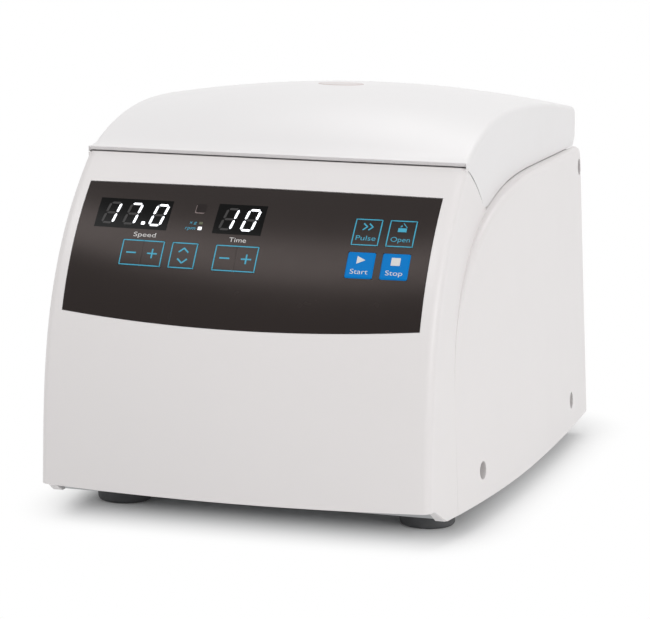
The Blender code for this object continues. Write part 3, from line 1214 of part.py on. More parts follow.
def make_latch():
    """The catch under the deck: a frame, a hook on its pin and the solenoid below it."""
    half = LATCH_FRAME_WIDTH / 2
    top = DECK_Z - WALL - FIT_GAP
    foot = LATCH_PIVOT_Z - LATCH_FRAME_FOOT
    low_y = LATCH_PIVOT_Y - LATCH_FRAME_LENGTH / 2
    high_y = LATCH_PIVOT_Y + LATCH_FRAME_LENGTH / 2
    channel = LATCH_HOOK_THICKNESS / 2 + EASY_GAP
    frame = box("latch_frame", (-half, low_y, foot), (half, high_y, top), STEEL)
    cut_box(frame, "latch_channel", (-channel, low_y - OVERRUN, foot + LATCH_CHEEK_THICKNESS),
            (channel, high_y + OVERRUN, top - LATCH_CHEEK_THICKNESS * LATCH_ROOF_SHARE))
    pin_reach = LATCH_PIN_LENGTH / 2
    cut_rod(frame, "latch_pin_bore", (-pin_reach, LATCH_PIVOT_Y, LATCH_PIVOT_Z),
            (pin_reach, LATCH_PIVOT_Y, LATCH_PIVOT_Z), LATCH_PIN_RADIUS + FIT_GAP)
    rod("latch_pin", (-half, LATCH_PIVOT_Y, LATCH_PIVOT_Z), (half, LATCH_PIVOT_Y, LATCH_PIVOT_Z),
        LATCH_PIN_RADIUS, STEEL)
    half_hook = LATCH_HOOK_THICKNESS / 2
    hook = prism("latch_hook", hook_outline(), -half_hook, half_hook, STEEL)
    hook.location = (0, LATCH_PIVOT_Y, LATCH_PIVOT_Z)
    hook.rotation_euler = (LATCH_SWING, 0, 0)
    join_rod(hook, "hook_boss", (-half_hook, LATCH_PIVOT_Y, LATCH_PIVOT_Z),
             (half_hook, LATCH_PIVOT_Y, LATCH_PIVOT_Z), LATCH_HOOK_BOSS_RADIUS, SMALL_STEPS + 2)
    cut_rod(hook, "hook_bore", (-half, LATCH_PIVOT_Y, LATCH_PIVOT_Z),
            (half, LATCH_PIVOT_Y, LATCH_PIVOT_Z), LATCH_PIN_RADIUS + FIT_GAP)
    solenoid_top = foot - FIT_GAP
    rod("latch_solenoid", (0, LATCH_PIVOT_Y, solenoid_top - SOLENOID_LENGTH),
        (0, LATCH_PIVOT_Y, solenoid_top), SOLENOID_RADIUS, COPPER, SMALL_STEPS + 8)


# Chamber and drive

def make_bowl():
    """The rotor chamber: a turned bowl hung by its flange from the deck."""
    outer, wall, corner = BOWL_RADIUS, BOWL_WALL, BOWL_CORNER_RADIUS
    flange = outer + BOWL_FLANGE_WIDTH
    floor, rim = BOWL_FLOOR_Z, BOWL_RIM_Z
    arc = [turn_share * math.pi / 2 for turn_share in CORNER_TURN_SHARES]
    outside = [(flange, rim), (flange, rim - wall), (outer, rim - wall)]
    outside += [(outer - corner + corner * math.cos(turn), floor + corner - corner * math.sin(turn))
                for turn in arc]
    hub_low = floor + BOWL_HUB_RISE
    outside += [(BOWL_HUB_RADIUS, floor), (BOWL_HUB_RADIUS - BOWL_HUB_RISE, hub_low),
                (SHAFT_HOLE_RADIUS, hub_low)]
    bend = corner - wall
    inside = [(SHAFT_HOLE_RADIUS, hub_low + wall),
              (BOWL_HUB_RADIUS - BOWL_HUB_RISE + wall / 2, hub_low + wall),
              (BOWL_HUB_RADIUS + wall / 2, floor + wall)]
    inside += [(outer - corner + bend * math.cos(turn), floor + corner - bend * math.sin(turn))
               for turn in reversed(arc)]
    inside += [(outer - wall, rim)]
    turned("chamber_bowl", outside + inside, (0, ROTOR_AXIS_Y, 0), STEEL, ROUND_STEPS, True)


def make_motor():
    """The motor on a round plate, which stands on rubber mounts on the base."""
    place = (0, ROTOR_AXIS_Y, 0)
    low, high = MOTOR_FOOT_Z, MOTOR_TOP_Z
    step = MOTOR_BOSS_HEIGHT
    profile = [(0.0, high + step), (MOTOR_BOSS_RADIUS, high + step), (MOTOR_BOSS_RADIUS, high),
               (MOTOR_RADIUS - step, high), (MOTOR_RADIUS, high - step),
               (MOTOR_RADIUS, low + step), (MOTOR_RADIUS + step, low + step / 2),
               (MOTOR_RADIUS + step, low), (0.0, low)]
    motor = turned("motor_housing", profile, place, ALLOY)
    axis = Vector(place)
    shaft_foot = high - MOTOR_HEIGHT / 2
    cut_rod(motor, "motor_bore", axis + Vector((0, 0, shaft_foot - FIT_GAP)),
            axis + Vector((0, 0, high + OVERRUN)), SHAFT_RADIUS + FIT_GAP)
    plate_low = MOTOR_PLATE_Z
    rod("motor_plate", axis + Vector((0, 0, plate_low)),
        axis + Vector((0, 0, plate_low + MOTOR_PLATE_THICKNESS)), MOTOR_PLATE_RADIUS, STEEL, ROUND_STEPS)
    for index in range(MOUNT_COUNT):
        turn = 2 * math.pi * (index + 0.5) / MOUNT_COUNT
        spot = (MOUNT_CIRCLE_RADIUS * math.sin(turn), ROTOR_AXIS_Y + MOUNT_CIRCLE_RADIUS * math.cos(turn), 0)
        foot, top = BASE_TOP_Z + FIT_GAP, MOTOR_PLATE_Z - FIT_GAP
        third = (top - foot) / 3
        spool = [(0.0, top), (MOUNT_RADIUS, top), (MOUNT_RADIUS, top - third / 2),
                 (MOUNT_WAIST_RADIUS, top - third), (MOUNT_WAIST_RADIUS, foot + third),
                 (MOUNT_RADIUS, foot + third / 2), (MOUNT_RADIUS, foot), (0.0, foot)]
        turned(f"motor_mount_{index + 1}", spool, spot, RUBBER, SMALL_STEPS + 4)
    return shaft_foot


def make_rotor(shaft_foot):
    """The spinning pieces: shaft, fixed-angle rotor, its nut, its lid and the lid's knob."""
    place = (0, ROTOR_AXIS_Y, 0)
    axis = Vector(place)
    shaft_top = ROTOR_HUB_Z + ROTOR_NUT_HEIGHT + 2 * FIT_GAP
    shaft = rod("motor_shaft", axis + Vector((0, 0, shaft_foot)), axis + Vector((0, 0, shaft_top)),
                SHAFT_RADIUS, STEEL)
    radius, rim, skirt = ROTOR_RADIUS, ROTOR_RIM_Z, ROTOR_SKIRT_Z
    taper = ROTOR_TAPER_HEIGHT
    bore = SHAFT_RADIUS + FIT_GAP
    valley = ROTOR_HUB_RADIUS + taper
    profile = [(radius - taper / 3, rim), (radius, rim - taper / 3), (radius, rim - taper),
               (radius - taper, skirt), (radius - 2 * taper, skirt - taper / 2),
               (ROTOR_HUB_RADIUS, skirt - taper / 2), (ROTOR_HUB_RADIUS - taper / 2, skirt - taper / 2),
               (bore, skirt - taper / 2), (bore, ROTOR_HUB_Z), (ROTOR_HUB_RADIUS - taper / 2, ROTOR_HUB_Z),
               (ROTOR_HUB_RADIUS, ROTOR_HUB_Z - taper / 2), (valley, skirt + 2 * taper),
               (radius - 2 * taper, rim - taper / 2), (radius - ROTOR_LAND_SHARE * taper, rim)]
    rotor = turned("rotor_body", profile, place, ALLOY, TUBE_COUNT * 2, True)
    tilt = TUBE_TILT
    for index in range(TUBE_COUNT):
        turn = 2 * math.pi * (index + TUBE_PHASE_SHARE) / TUBE_COUNT
        outward = Vector((math.sin(turn), math.cos(turn), 0))
        down = outward * math.sin(tilt) - Vector((0, 0, math.cos(tilt)))
        mouth = axis + outward * TUBE_CIRCLE_RADIUS + Vector((0, 0, TUBE_MOUTH_Z))
        cut_rod(rotor, f"tube_bore_{index + 1}", mouth - down * OVERRUN,
                mouth + down * TUBE_BORE_DEPTH, TUBE_BORE_RADIUS, TUBE_BORE_STEPS)
    nut = rod("rotor_nut", axis + Vector((0, 0, ROTOR_HUB_Z + FIT_GAP)),
              axis + Vector((0, 0, ROTOR_HUB_Z + FIT_GAP + ROTOR_NUT_HEIGHT)), ROTOR_NUT_RADIUS, STEEL, 6)
    cut_rod(nut, "nut_bore", axis + Vector((0, 0, ROTOR_HUB_Z - OVERRUN)),
            axis + Vector((0, 0, ROTOR_HUB_Z + OVERRUN)), bore)
    low, thick, rise = rim + FIT_GAP, ROTOR_LID_THICKNESS, ROTOR_LID_RISE
    stem_hole = KNOB_STEM_RADIUS + FIT_GAP
    lid_profile = [(stem_hole, low + rise + thick), (KNOB_RADIUS + taper, low + rise + thick),
                   (radius - 2 * taper, low + thick + taper / 6), (radius - taper / 3, low + thick),
                   (radius - taper / 3, low), (radius - 2 * taper, low + taper / 6),
                   (KNOB_RADIUS + taper, low + rise), (stem_hole, low + rise)]
    rotor_lid = turned("rotor_lid", lid_profile, place, SMOKE, ROUND_STEPS, True)
    base = low + rise + thick + FIT_GAP
    grip = KNOB_GRIP_RADIUS
    knob_profile = [(0.0, base + KNOB_HEIGHT), (KNOB_RADIUS - 2 * grip, base + KNOB_HEIGHT),
                    (KNOB_RADIUS - grip / 2, base + KNOB_HEIGHT - grip / 2), (KNOB_RADIUS, base + grip),
                    (KNOB_RADIUS, base), (KNOB_STEM_RADIUS, base),
                    (KNOB_STEM_RADIUS, shaft_top + 2 * FIT_GAP), (0.0, shaft_top + 2 * FIT_GAP)]
    knob = turned("rotor_lid_knob", knob_profile, place, BLACK)
    for index in range(KNOB_GRIP_COUNT):
        turn = 2 * math.pi * index / KNOB_GRIP_COUNT
        spot = axis + Vector((math.sin(turn), math.cos(turn), 0)) * (KNOB_RADIUS + grip / 2)
        cut_rod(knob, f"knob_grip_{index + 1}", spot + Vector((0, 0, base - grip)),
                spot + Vector((0, 0, base + KNOB_HEIGHT + grip)), KNOB_GRIP_CUT_SHARE * grip,
                SMALL_STEPS - 4)
    carry(axis_empty("rotor_axis", (0, ROTOR_AXIS_Y, BOWL_FLOOR_Z)), shaft, rotor, nut, rotor_lid, knob)


# Base, feet and fasteners

def make_base():
    """The steel base, which fills the housing's foot and steps up behind the front face."""
    slope_end = FRONT_Y + UNDERCUT_FRONT_RUN + UNDERCUT_SLOPE_RUN + WALL
    slope_start = slope_end - UNDERCUT_SLOPE_RUN
    step_up = FRONT_BOTTOM_Z - SIDE_BOTTOM_Z
    low = [(REAR_Y, BASE_Z), (slope_end, BASE_Z), (slope_start, BASE_Z + step_up),
           (FRONT_Y, BASE_Z + step_up)]
    high = [(y, z + BASE_THICKNESS) for y, z in reversed(low)]
    base = prism("base_plate", low + high, -BODY_WIDTH / 2, BODY_WIDTH / 2, STEEL)
    room = tool_shape(loft("base_room", core_sections(WALL + FIT_GAP), None, cutters))
    for hand, side in (("left", -1), ("right", 1)):
        join(room, cheek_solid(f"base_room_{hand}", side, WALL + FIT_GAP))
    boolean(base, room, "INTERSECT")
    cut_rod(base, "release_hole", (0, RELEASE_PLUG_Y, SIDE_BOTTOM_Z - OVERRUN),
            (0, RELEASE_PLUG_Y, SIDE_BOTTOM_Z + OVERRUN), RELEASE_PLUG_RADIUS)
    lip = RELEASE_PLUG_RADIUS * RELEASE_LIP_SHARE
    stem = RELEASE_PLUG_RADIUS - FIT_GAP
    plug = [(0.0, BASE_TOP_Z), (stem, BASE_TOP_Z), (stem, BASE_Z - FIT_GAP), (lip, BASE_Z - FIT_GAP),
            (stem, BASE_Z - 4 * FIT_GAP), (0.0, BASE_Z - 4 * FIT_GAP)]
    turned("release_plug", plug, (0, RELEASE_PLUG_Y, 0), RUBBER, SMALL_STEPS)
    for x in (POWER_BOARD_X - POWER_BOARD_LENGTH / 2, POWER_BOARD_X + POWER_BOARD_LENGTH / 2):
        for y in (POWER_BOARD_Y - POWER_BOARD_WIDTH / 2, POWER_BOARD_Y + POWER_BOARD_WIDTH / 2):
            inward = Vector((math.copysign(BOARD_MARGIN, POWER_BOARD_X - x),
                             math.copysign(BOARD_MARGIN, POWER_BOARD_Y - y), 0))
            spot = Vector((x, y, 0)) + inward
            join_rod(base, f"standoff_{x:.3f}_{y:.3f}",
                     spot + Vector((0, 0, BASE_TOP_Z - BASE_THICKNESS / 2)),
                     spot + Vector((0, 0, BASE_TOP_Z + POWER_BOARD_STANDOFF)), BOARD_MARGIN / 2,
                     SMALL_STEPS - 4)


def make_feet():
    """Four rubber feet with a rounded tread edge."""
    top = BASE_Z - FIT_GAP
    edge = FOOT_EDGE_RADIUS
    rounding = [(FOOT_RADIUS - FOOT_TAPER - edge + edge * math.cos(turn), edge - edge * math.sin(turn))
                for turn in (share * math.pi / 2 for share in CORNER_TURN_SHARES)]
    profile = [(0.0, top), (FOOT_RADIUS, top)] + rounding + [(0.0, 0.0)]
    for spot, y in (("front", FRONT_FOOT_Y), ("rear", REAR_FOOT_Y)):
        for hand, side in (("left", -1), ("right", 1)):
            turned(f"foot_{spot}_{hand}", profile, (side * FOOT_X, y, 0), RUBBER, 2 * SMALL_STEPS)


def make_side_screws():
    """Six screws, each at the bottom of its recess in a cheek."""
    for spot, side, y, z in screw_places():
        floor = float(cheek_half_width(y, z)) - SCREW_RECESS_DEPTH
        near = floor + FIT_GAP
        screw = rod(f"side_screw_{spot}", (side * near, y, z), (side * (near + SCREW_HEAD_HEIGHT), y, z),
                    SCREW_HEAD_RADIUS, STEEL, SMALL_STEPS)
        join_rod(screw, f"shank_{spot}", (side * (near - SCREW_SHANK_LENGTH), y, z),
                 (side * (near + SCREW_HEAD_HEIGHT / 2), y, z), SCREW_SHANK_RADIUS, SMALL_STEPS - 4)
        cut_rod(screw, f"drive_{spot}", (side * (near + SCREW_HEAD_HEIGHT - SCREW_DRIVE_DEPTH), y, z),
                (side * (near + OVERRUN), y, z), SCREW_DRIVE_WIDTH, 6)


# Rear panel, mains parts and power board

def rear_block(name, centre_x, centre_z, width, height, near_y, far_y, material=None, collection=parts):
    """A block on the rear panel, between two depths."""
    return box(name, (centre_x - width / 2, near_y, centre_z - height / 2),
               (centre_x + width / 2, far_y, centre_z + height / 2), material, collection=collection)


def make_rear_panel():
    """The vented panel behind the housing's rear opening, with its mains parts."""
    face = REAR_Y - WALL - FIT_GAP
    back = face - REAR_PANEL_THICKNESS
    panel = box("rear_panel", (-REAR_PANEL_HALF_WIDTH, back, REAR_PANEL_BOTTOM_Z),
                (REAR_PANEL_HALF_WIDTH, face, REAR_PANEL_TOP_Z), STEEL)
    for column in range(VENT_COLUMNS):
        x = (column - (VENT_COLUMNS - 1) / 2) * VENT_PITCH
        for row in range(VENT_ROWS):
            z = VENT_TOP_Z - VENT_SLOT_HEIGHT / 2 - row * (VENT_SLOT_HEIGHT + VENT_ROW_GAP)
            cut(panel, rear_block(f"vent_{column}_{row}", x, z, VENT_SLOT_WIDTH, VENT_SLOT_HEIGHT,
                                  back - OVERRUN, face + OVERRUN, None, cutters))
    for name, x, width, height in (("inlet", INLET_X, INLET_WIDTH, INLET_HEIGHT),
                                   ("rocker", ROCKER_X, ROCKER_WIDTH + 2 * ROCKER_FRAME_WALL,
                                    ROCKER_HEIGHT + 2 * ROCKER_FRAME_WALL),
                                   ("fuse", FUSE_X, FUSE_WIDTH + 2 * FUSE_CASE_WALL,
                                    FUSE_HEIGHT + 2 * FUSE_CASE_WALL)):
        cut(panel, rear_block(f"{name}_window", x, INLET_Z, width + 2 * FIT_GAP, height + 2 * FIT_GAP,
                              back - OVERRUN, face + OVERRUN, None, cutters))
    flange_low = face + FIT_GAP
    flange_high = flange_low + INLET_FLANGE_THICKNESS
    inlet = rear_block("inlet_socket", INLET_X, INLET_Z, INLET_WIDTH, INLET_HEIGHT,
                       flange_high - INLET_DEPTH, flange_high - FIT_GAP, BLACK)
    join(inlet, rear_block("inlet_flange", INLET_X, INLET_Z, INLET_WIDTH + 2 * INLET_FLANGE,
                           INLET_HEIGHT + 2 * INLET_FLANGE, flange_low, flange_high, None, cutters))
    cavity_floor = flange_high - INLET_CAVITY_DEPTH
    cut(inlet, rear_block("inlet_cavity", INLET_X, INLET_Z, INLET_WIDTH - 2 * INLET_CAVITY_WALL,
                          INLET_HEIGHT - 2 * INLET_CAVITY_WALL, cavity_floor, flange_high + OVERRUN,
                          None, cutters))
    for name, step, lift in (("left", -1, -1), ("middle", 0, 1), ("right", 1, -1)):
        join(inlet, rear_block(f"inlet_pin_{name}", INLET_X + step * INLET_PIN_SPACING,
                               INLET_Z + lift * INLET_PIN_WIDTH, INLET_PIN_WIDTH, 2 * INLET_PIN_WIDTH,
                               cavity_floor - FIT_GAP, cavity_floor + INLET_PIN_LENGTH, None, cutters))
    frame = rear_block("switch_frame", ROCKER_X, INLET_Z, ROCKER_WIDTH + 2 * ROCKER_FRAME_WALL,
                       ROCKER_HEIGHT + 2 * ROCKER_FRAME_WALL, flange_high - ROCKER_FRAME_DEPTH,
                       flange_high - FIT_GAP, BLACK)
    join(frame, rear_block("switch_flange", ROCKER_X, INLET_Z, ROCKER_WIDTH + 4 * ROCKER_FRAME_WALL,
                           ROCKER_HEIGHT + 4 * ROCKER_FRAME_WALL, flange_low, flange_high, None, cutters))
    pocket_floor = flange_high - ROCKER_FRAME_DEPTH + ROCKER_FRAME_WALL
    cut(frame, rear_block("switch_pocket", ROCKER_X, INLET_Z, ROCKER_WIDTH + 2 * FIT_GAP,
                          ROCKER_HEIGHT + 4 * EASY_GAP, pocket_floor, flange_high + OVERRUN, None, cutters))
    make_rocker(flange_high)
    holder = rear_block("fuse_holder", FUSE_X, INLET_Z, FUSE_WIDTH + 2 * FUSE_CASE_WALL,
                        FUSE_HEIGHT + 2 * FUSE_CASE_WALL, flange_high - FUSE_DEPTH - 2 * FUSE_CASE_WALL,
                        flange_high - FIT_GAP, BLACK)
    join(holder, rear_block("fuse_rim", FUSE_X, INLET_Z, FUSE_WIDTH + 4 * FUSE_CASE_WALL,
                            FUSE_HEIGHT + 4 * FUSE_CASE_WALL, flange_low, flange_high, None, cutters))
    cut(holder, rear_block("fuse_room", FUSE_X, INLET_Z, FUSE_WIDTH + 2 * FIT_GAP, FUSE_HEIGHT + 2 * FIT_GAP,
                           flange_high - FUSE_DEPTH - FIT_GAP, flange_high + OVERRUN, None, cutters))
    drawer = rear_block("fuse_drawer", FUSE_X, INLET_Z, FUSE_WIDTH, FUSE_HEIGHT,
                        flange_high - FUSE_DEPTH, flange_high, BLACK)
    cut(drawer, rear_block("fuse_trough", FUSE_X, INLET_Z + FUSE_CASE_WALL, FUSE_WIDTH - 2 * FUSE_CASE_WALL,
                           FUSE_HEIGHT, flange_high - FUSE_DEPTH + FUSE_CASE_WALL,
                           flange_high - 2 * FUSE_CASE_WALL, None, cutters))


def make_rocker(flange_high):
    """The power rocker, tilted to off, with its origin on its pivot."""
    half_height = ROCKER_HEIGHT / 2 - EASY_GAP
    thick = ROCKER_HEIGHT * ROCKER_THICKNESS_SHARE
    bm = bmesh.new()
    bmesh.ops.create_cone(bm, cap_ends=True, segments=SMALL_STEPS * 2, radius1=half_height,
                          radius2=half_height, depth=ROCKER_WIDTH)
    bmesh.ops.rotate(bm, verts=bm.verts, matrix=Matrix.Rotation(math.pi / 2, 3, "Y"))
    flatten = thick / 2 / half_height
    bmesh.ops.scale(bm, vec=(1, flatten, 1), verts=bm.verts)
    rocker = place_object("power_rocker", mesh_from(bm, "power_rocker"), BLACK)
    smooth(rocker)
    rocker.location = (ROCKER_X, flange_high - thick / 2, INLET_Z)
    rocker.rotation_euler = (-ROCKER_ANGLE, 0, 0)


def make_power_board():
    """The power board on its standoffs, with its transformer and capacitors."""
    low = BASE_TOP_Z + POWER_BOARD_STANDOFF + FIT_GAP
    top = low + BOARD_THICKNESS + FIT_GAP
    half_x, half_y = POWER_BOARD_LENGTH / 2, POWER_BOARD_WIDTH / 2
    box("power_board", (POWER_BOARD_X - half_x, POWER_BOARD_Y - half_y, low),
        (POWER_BOARD_X + half_x, POWER_BOARD_Y + half_y, low + BOARD_THICKNESS), BOARD)
    block = TRANSFORMER_SIZE / 2
    block_x = POWER_BOARD_X - half_x / 2
    box("transformer", (block_x - block, POWER_BOARD_Y - block, top),
        (block_x + block, POWER_BOARD_Y + block, top + 2 * block), COPPER, FOOT_EDGE_RADIUS / 2)
    for name, y in (("front", POWER_BOARD_Y - half_y / 2), ("rear", POWER_BOARD_Y + half_y / 2)):
        x = POWER_BOARD_X + half_x / 2
        rod(f"capacitor_{name}", (x, y, top), (x, y, top + CAPACITOR_HEIGHT), CAPACITOR_RADIUS, BLACK,
            SMALL_STEPS + 4)


make_housing()
make_panel()
make_lid()
make_lid_liner()
make_gasket()
make_hinges()
make_striker()
make_latch()
make_bowl()
make_rotor(make_motor())
make_base()
make_feet()
make_side_screws()
make_rear_panel()
make_power_board()
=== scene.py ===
"""Looks of the bench microcentrifuge: finishes for its parts and finely made outer surfaces.

Metres, +Z up, the front faces -Y. The origin is the centre of the footprint at the feet.
"""

import json
import math

import bpy
import numpy as np
from mathutils import Matrix, Vector


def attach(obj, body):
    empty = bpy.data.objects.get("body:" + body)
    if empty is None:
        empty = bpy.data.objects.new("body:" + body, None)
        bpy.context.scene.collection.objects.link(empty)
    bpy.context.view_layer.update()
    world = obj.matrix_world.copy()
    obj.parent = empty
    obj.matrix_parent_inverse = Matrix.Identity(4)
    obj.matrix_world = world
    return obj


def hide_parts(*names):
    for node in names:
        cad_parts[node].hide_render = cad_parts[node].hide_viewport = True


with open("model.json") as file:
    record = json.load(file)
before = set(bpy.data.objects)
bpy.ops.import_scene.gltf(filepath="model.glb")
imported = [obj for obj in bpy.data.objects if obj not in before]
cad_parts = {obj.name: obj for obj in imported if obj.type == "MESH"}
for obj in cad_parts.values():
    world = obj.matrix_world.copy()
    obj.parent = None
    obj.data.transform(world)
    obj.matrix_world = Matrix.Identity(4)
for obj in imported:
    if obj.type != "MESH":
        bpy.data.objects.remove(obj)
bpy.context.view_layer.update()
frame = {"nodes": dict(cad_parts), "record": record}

MM = 0.001
SHARP_DEGREES = 35.0

# Camera
CAMERA_AZIMUTH = math.radians(16.94)
CAMERA_ELEVATION = math.radians(9.32)
CAMERA_ROLL = math.radians(0.75)
CAMERA_DISTANCE = 1.69451
CAMERA_TARGET = (-0.00273, 0.0073, 0.09717)
FOCAL_PIXELS = 2949.92
FRAME_WIDTH, FRAME_HEIGHT = 650.0, 619.0
CENTRE_COLUMN, CENTRE_ROW = 325.03, 307.73
SENSOR_WIDTH_MM = 36.0

# Housing, as in the solid
DEPTH = 0.352
BODY_WIDTH = 0.2427
SIDE_BOTTOM_Z = 0.014
FRONT_BOTTOM_Z = 0.0225
SEAM_Z = 0.1935
SEAM_SETBACK = 0.0657
FRONT_BOW = 0.0108
FRONT_CURVE_POWER = 3.3
CORE_BOTTOM_HALF_WIDTH = 0.1073
CORE_TOP_HALF_WIDTH = 0.1061
CORE_REAR_TAPER = 0.0016
CORNER_RADIUS = 0.005
LIP_THICKNESS = 0.0055
UNDERCUT_FRONT_RUN = 0.018
UNDERCUT_SLOPE_RUN = 0.016
CHEEK_FRONT_Y = -0.126
CHEEK_CROWN_Y = 0.060
CHEEK_SPRING_Z = 0.060
CHEEK_TOP_Z = 0.1787
CHEEK_ARCH_POWER = 2.7
CHEEK_WIDEST_Y = 0.0143
CHEEK_FRONT_HALF_WIDTH = 0.1124
CHEEK_REAR_HALF_WIDTH = 0.1165
CHEEK_LEAN = 0.0514
CHEEK_EDGE_RADIUS = 0.003
CHEEK_REAR_CORNER_RADIUS = 0.006
FLARE_LOW_Z = 0.070
FLARE_HIGH_Z = 0.150
FRONT_Y, REAR_Y = -DEPTH / 2, DEPTH / 2
CORNER_Y = FRONT_Y + FRONT_BOW
SEAM_Y = CORNER_Y + SEAM_SETBACK
SCREW_SPOTS = ((-0.0875, 0.0305), (0.1212, 0.0305), (0.1690, 0.1665))
SCREW_RECESS_RADIUS = 0.0050

# Skins laid over the solid housing
SKIN_STEP = 0.2 * MM
SKIN_WALL = 1.0 * MM
ARCH_TUCK = 1.5 * MM
LEAST_ROUND = 0.05 * MM
LIP_STEPS = ((0.25 * MM, 0.25 * MM), (1.0 * MM, 0.35 * MM), (LIP_THICKNESS, 0.35 * MM))
RECESS_CUT_X = (0.095, 0.135)
RECESS_SEGMENTS = 48
FRONT_ROWS = (34, 30, 10)
FACE_COLUMNS = 34
CORNER_STEPS = 8
STRIP_COLUMNS = 18
ARCH_STEPS = 160
RIM_CORNER_STEPS = 10
RIM_COLUMNS = 190
CHEEK_ROWS = 29
EDGE_STEPS = 8

# Lid
LID_WALL = 0.0026
LID_CROWN = 0.0088
LID_CROWN_FADE_POWER = 4
LID_EDGE_HEIGHT = 0.2162
LID_PEAK_Y = 0.012
LID_FRONT_DROP_POWER = 2.6
LID_REAR_DROP = 0.0133
LID_REAR_DROP_POWER = 1.6
LID_REAR_Y = 0.175
LID_SEAM_GAP = 0.0012
LID_EDGE_RADIUS = 0.0032
LID_EDGE_FADE_SHARE = 3.0
LID_REAR_WALL_FOOT_Z = 0.1846
LID_REAR_FOOT_Y = 0.170
LID_FRONT_LIFT = 0.0020
LID_LIFT_START_SHARE = 0.9
LID_SEAM_FOLD = 1.6 * MM
LID_SHARP_DEGREES = 32.0
LID_FRONT_ROWS, LID_REAR_ROWS = 44, 33
LID_BEND_ROWS, LID_BACK_ROWS = 7, 5
LID_COLUMNS = 61
LID_COLUMN_CROWDING_SHARE = 0.96
LID_EDGE_STEPS = 9
LID_SIDE_ROWS = 8
LID_SIDE_RUN_SHARE = 1.10
SWOOP_END_Y = -0.0580
SWOOP_END_Z = 0.1680
SWOOP_STRAIGHTNESS_SHARE = 0.62
SWOOP_REVEAL = 3.3 * MM
PORT_RADIUS = 0.0125
PORT_RISE = 0.3 * MM
PORT_STEP = 0.12 * MM
PORT_RING = 0.5 * MM
PORT_SINK = 0.2 * MM
PORT_SEGMENTS, PORT_RINGS = 96, 12

# The upright axis of chamber, rotor and port
AXIS_Y = 0.0241

# Panel
PANEL_TOP_Z = 0.1795
PANEL_BOTTOM_Z = 0.1158
PANEL_HALF_WIDTH = 0.0980
PANEL_TOP_ARC = 0.0006
PANEL_BOTTOM_ARC = 0.0038
PANEL_GAP = 0.3 * MM
PANEL_WALL = 0.8 * MM
FILM_STEP = 0.05 * MM
FILM_CELL = 2.5 * MM
FILM_ROWS = (12, 7, 3, 7, 6)
KEY_ROW_Z = 0.1466
UPPER_KEY_ROW_Z = 0.1623
KEY_HALF_HEIGHT = 0.0062
KEY_WIDTH = 0.0145
PAIR_KEY_WIDTH = 0.0118
KEY_GAP = 0.12 * MM
KEY_SPREAD = 0.05 * MM
KEY_SKIRT = 0.25 * MM
KEY_CORNER_RADIUS = 1.1 * MM
KEY_TOP_CORNER_RADIUS = 0.1 * MM
OUTLINE_CORNER_STEPS = 6
# Steps in from a key's outline, and the share of its height reached there
KEY_ROUND_SHARES = ((0.12 * MM, 0.35), (0.35 * MM, 0.75), (0.65 * MM, 0.95), (1.0 * MM, 1.0))
FILM_KEY_HEIGHT = 0.12 * MM
BLUE_KEY_HEIGHT = 0.45 * MM
PRINT_STEP = 0.04 * MM
LINE_WIDTH = 0.62 * MM
LINE_INSET = 0.3 * MM
SIGN_WIDTH = 0.85 * MM
SIGN_ARM = 2.8 * MM
SIGN_STEP = 0.01 * MM
LETTER_STOUTNESS = -0.003
LETTER_CAPITAL = 0.729
DISPLAY_TOP_Z, DISPLAY_BOTTOM_Z = 0.1721, 0.1581
DIGIT_HEIGHT = 14.5 * MM
DIGIT_WIDTH = 7.3 * MM
DIGIT_SLANT = 0.19
SEGMENT_WIDTH = 1.35 * MM
SEGMENT_END_GAP = 0.35 * MM
POINT_RADIUS = 1.05 * MM
POINT_RISE = 1.6 * MM
WINDOW_STEP = 0.09 * MM
WINDOW_COLUMNS, WINDOW_ROWS = 24, 14
SEGMENT_STEP = 0.13 * MM
WORD_STEP = 0.10 * MM

# Room and shadow
FLOOR_REACH = 6.0
SHADOW_MIDDLE_Y = 0.0375
SHADOW_HALF_WIDTH, SHADOW_HALF_LENGTH = 0.096, 0.1290
SHADOW_SIDE_SHARE = 1.75
SHADOW_FADE = 0.085
ROOM_LIGHT = 0.47
# Each lamp: place, length and width of its face, power in watts
LAMPS = {
    "right_light": ((2.2, -0.9, 0.9), 1.4, 1.4, 17.5),
    "top_light": ((0.2, 1.1, 2.1), 1.6, 1.2, 12.0),
    "panel_light": ((-0.58, -1.08, 1.83), 2.0, 0.6, 13.0),
}


# Materials

class Wire:
    """One output of a node. Sums and products with it add Math nodes."""

    def __init__(self, nodes, socket):
        self.nodes = nodes
        self.socket = socket

    def math(self, operation, other):
        return self.nodes.node("ShaderNodeMath", {"operation": operation}, {0: self, 1: other})

    def __add__(self, other):
        return self.math("ADD", other)

    def __mul__(self, other):
        return self.math("MULTIPLY", other)

    __radd__ = __add__
    __rmul__ = __mul__


class Nodes:
    """A node tree in the making."""

    def __init__(self, tree):
        self.tree = tree

    def node(self, kind, settings=None, values=None, output=0):
        """Adds a node, sets it up, and gives back one of its outputs."""
        node = self.tree.nodes.new(kind)
        for key, value in (settings or {}).items():
            setattr(node, key, value)
        for key, value in (values or {}).items():
            if isinstance(value, Wire):
                self.tree.links.new(value.socket, node.inputs[key])
            else:
                node.inputs[key].default_value = value
        return Wire(self, node.outputs[output])


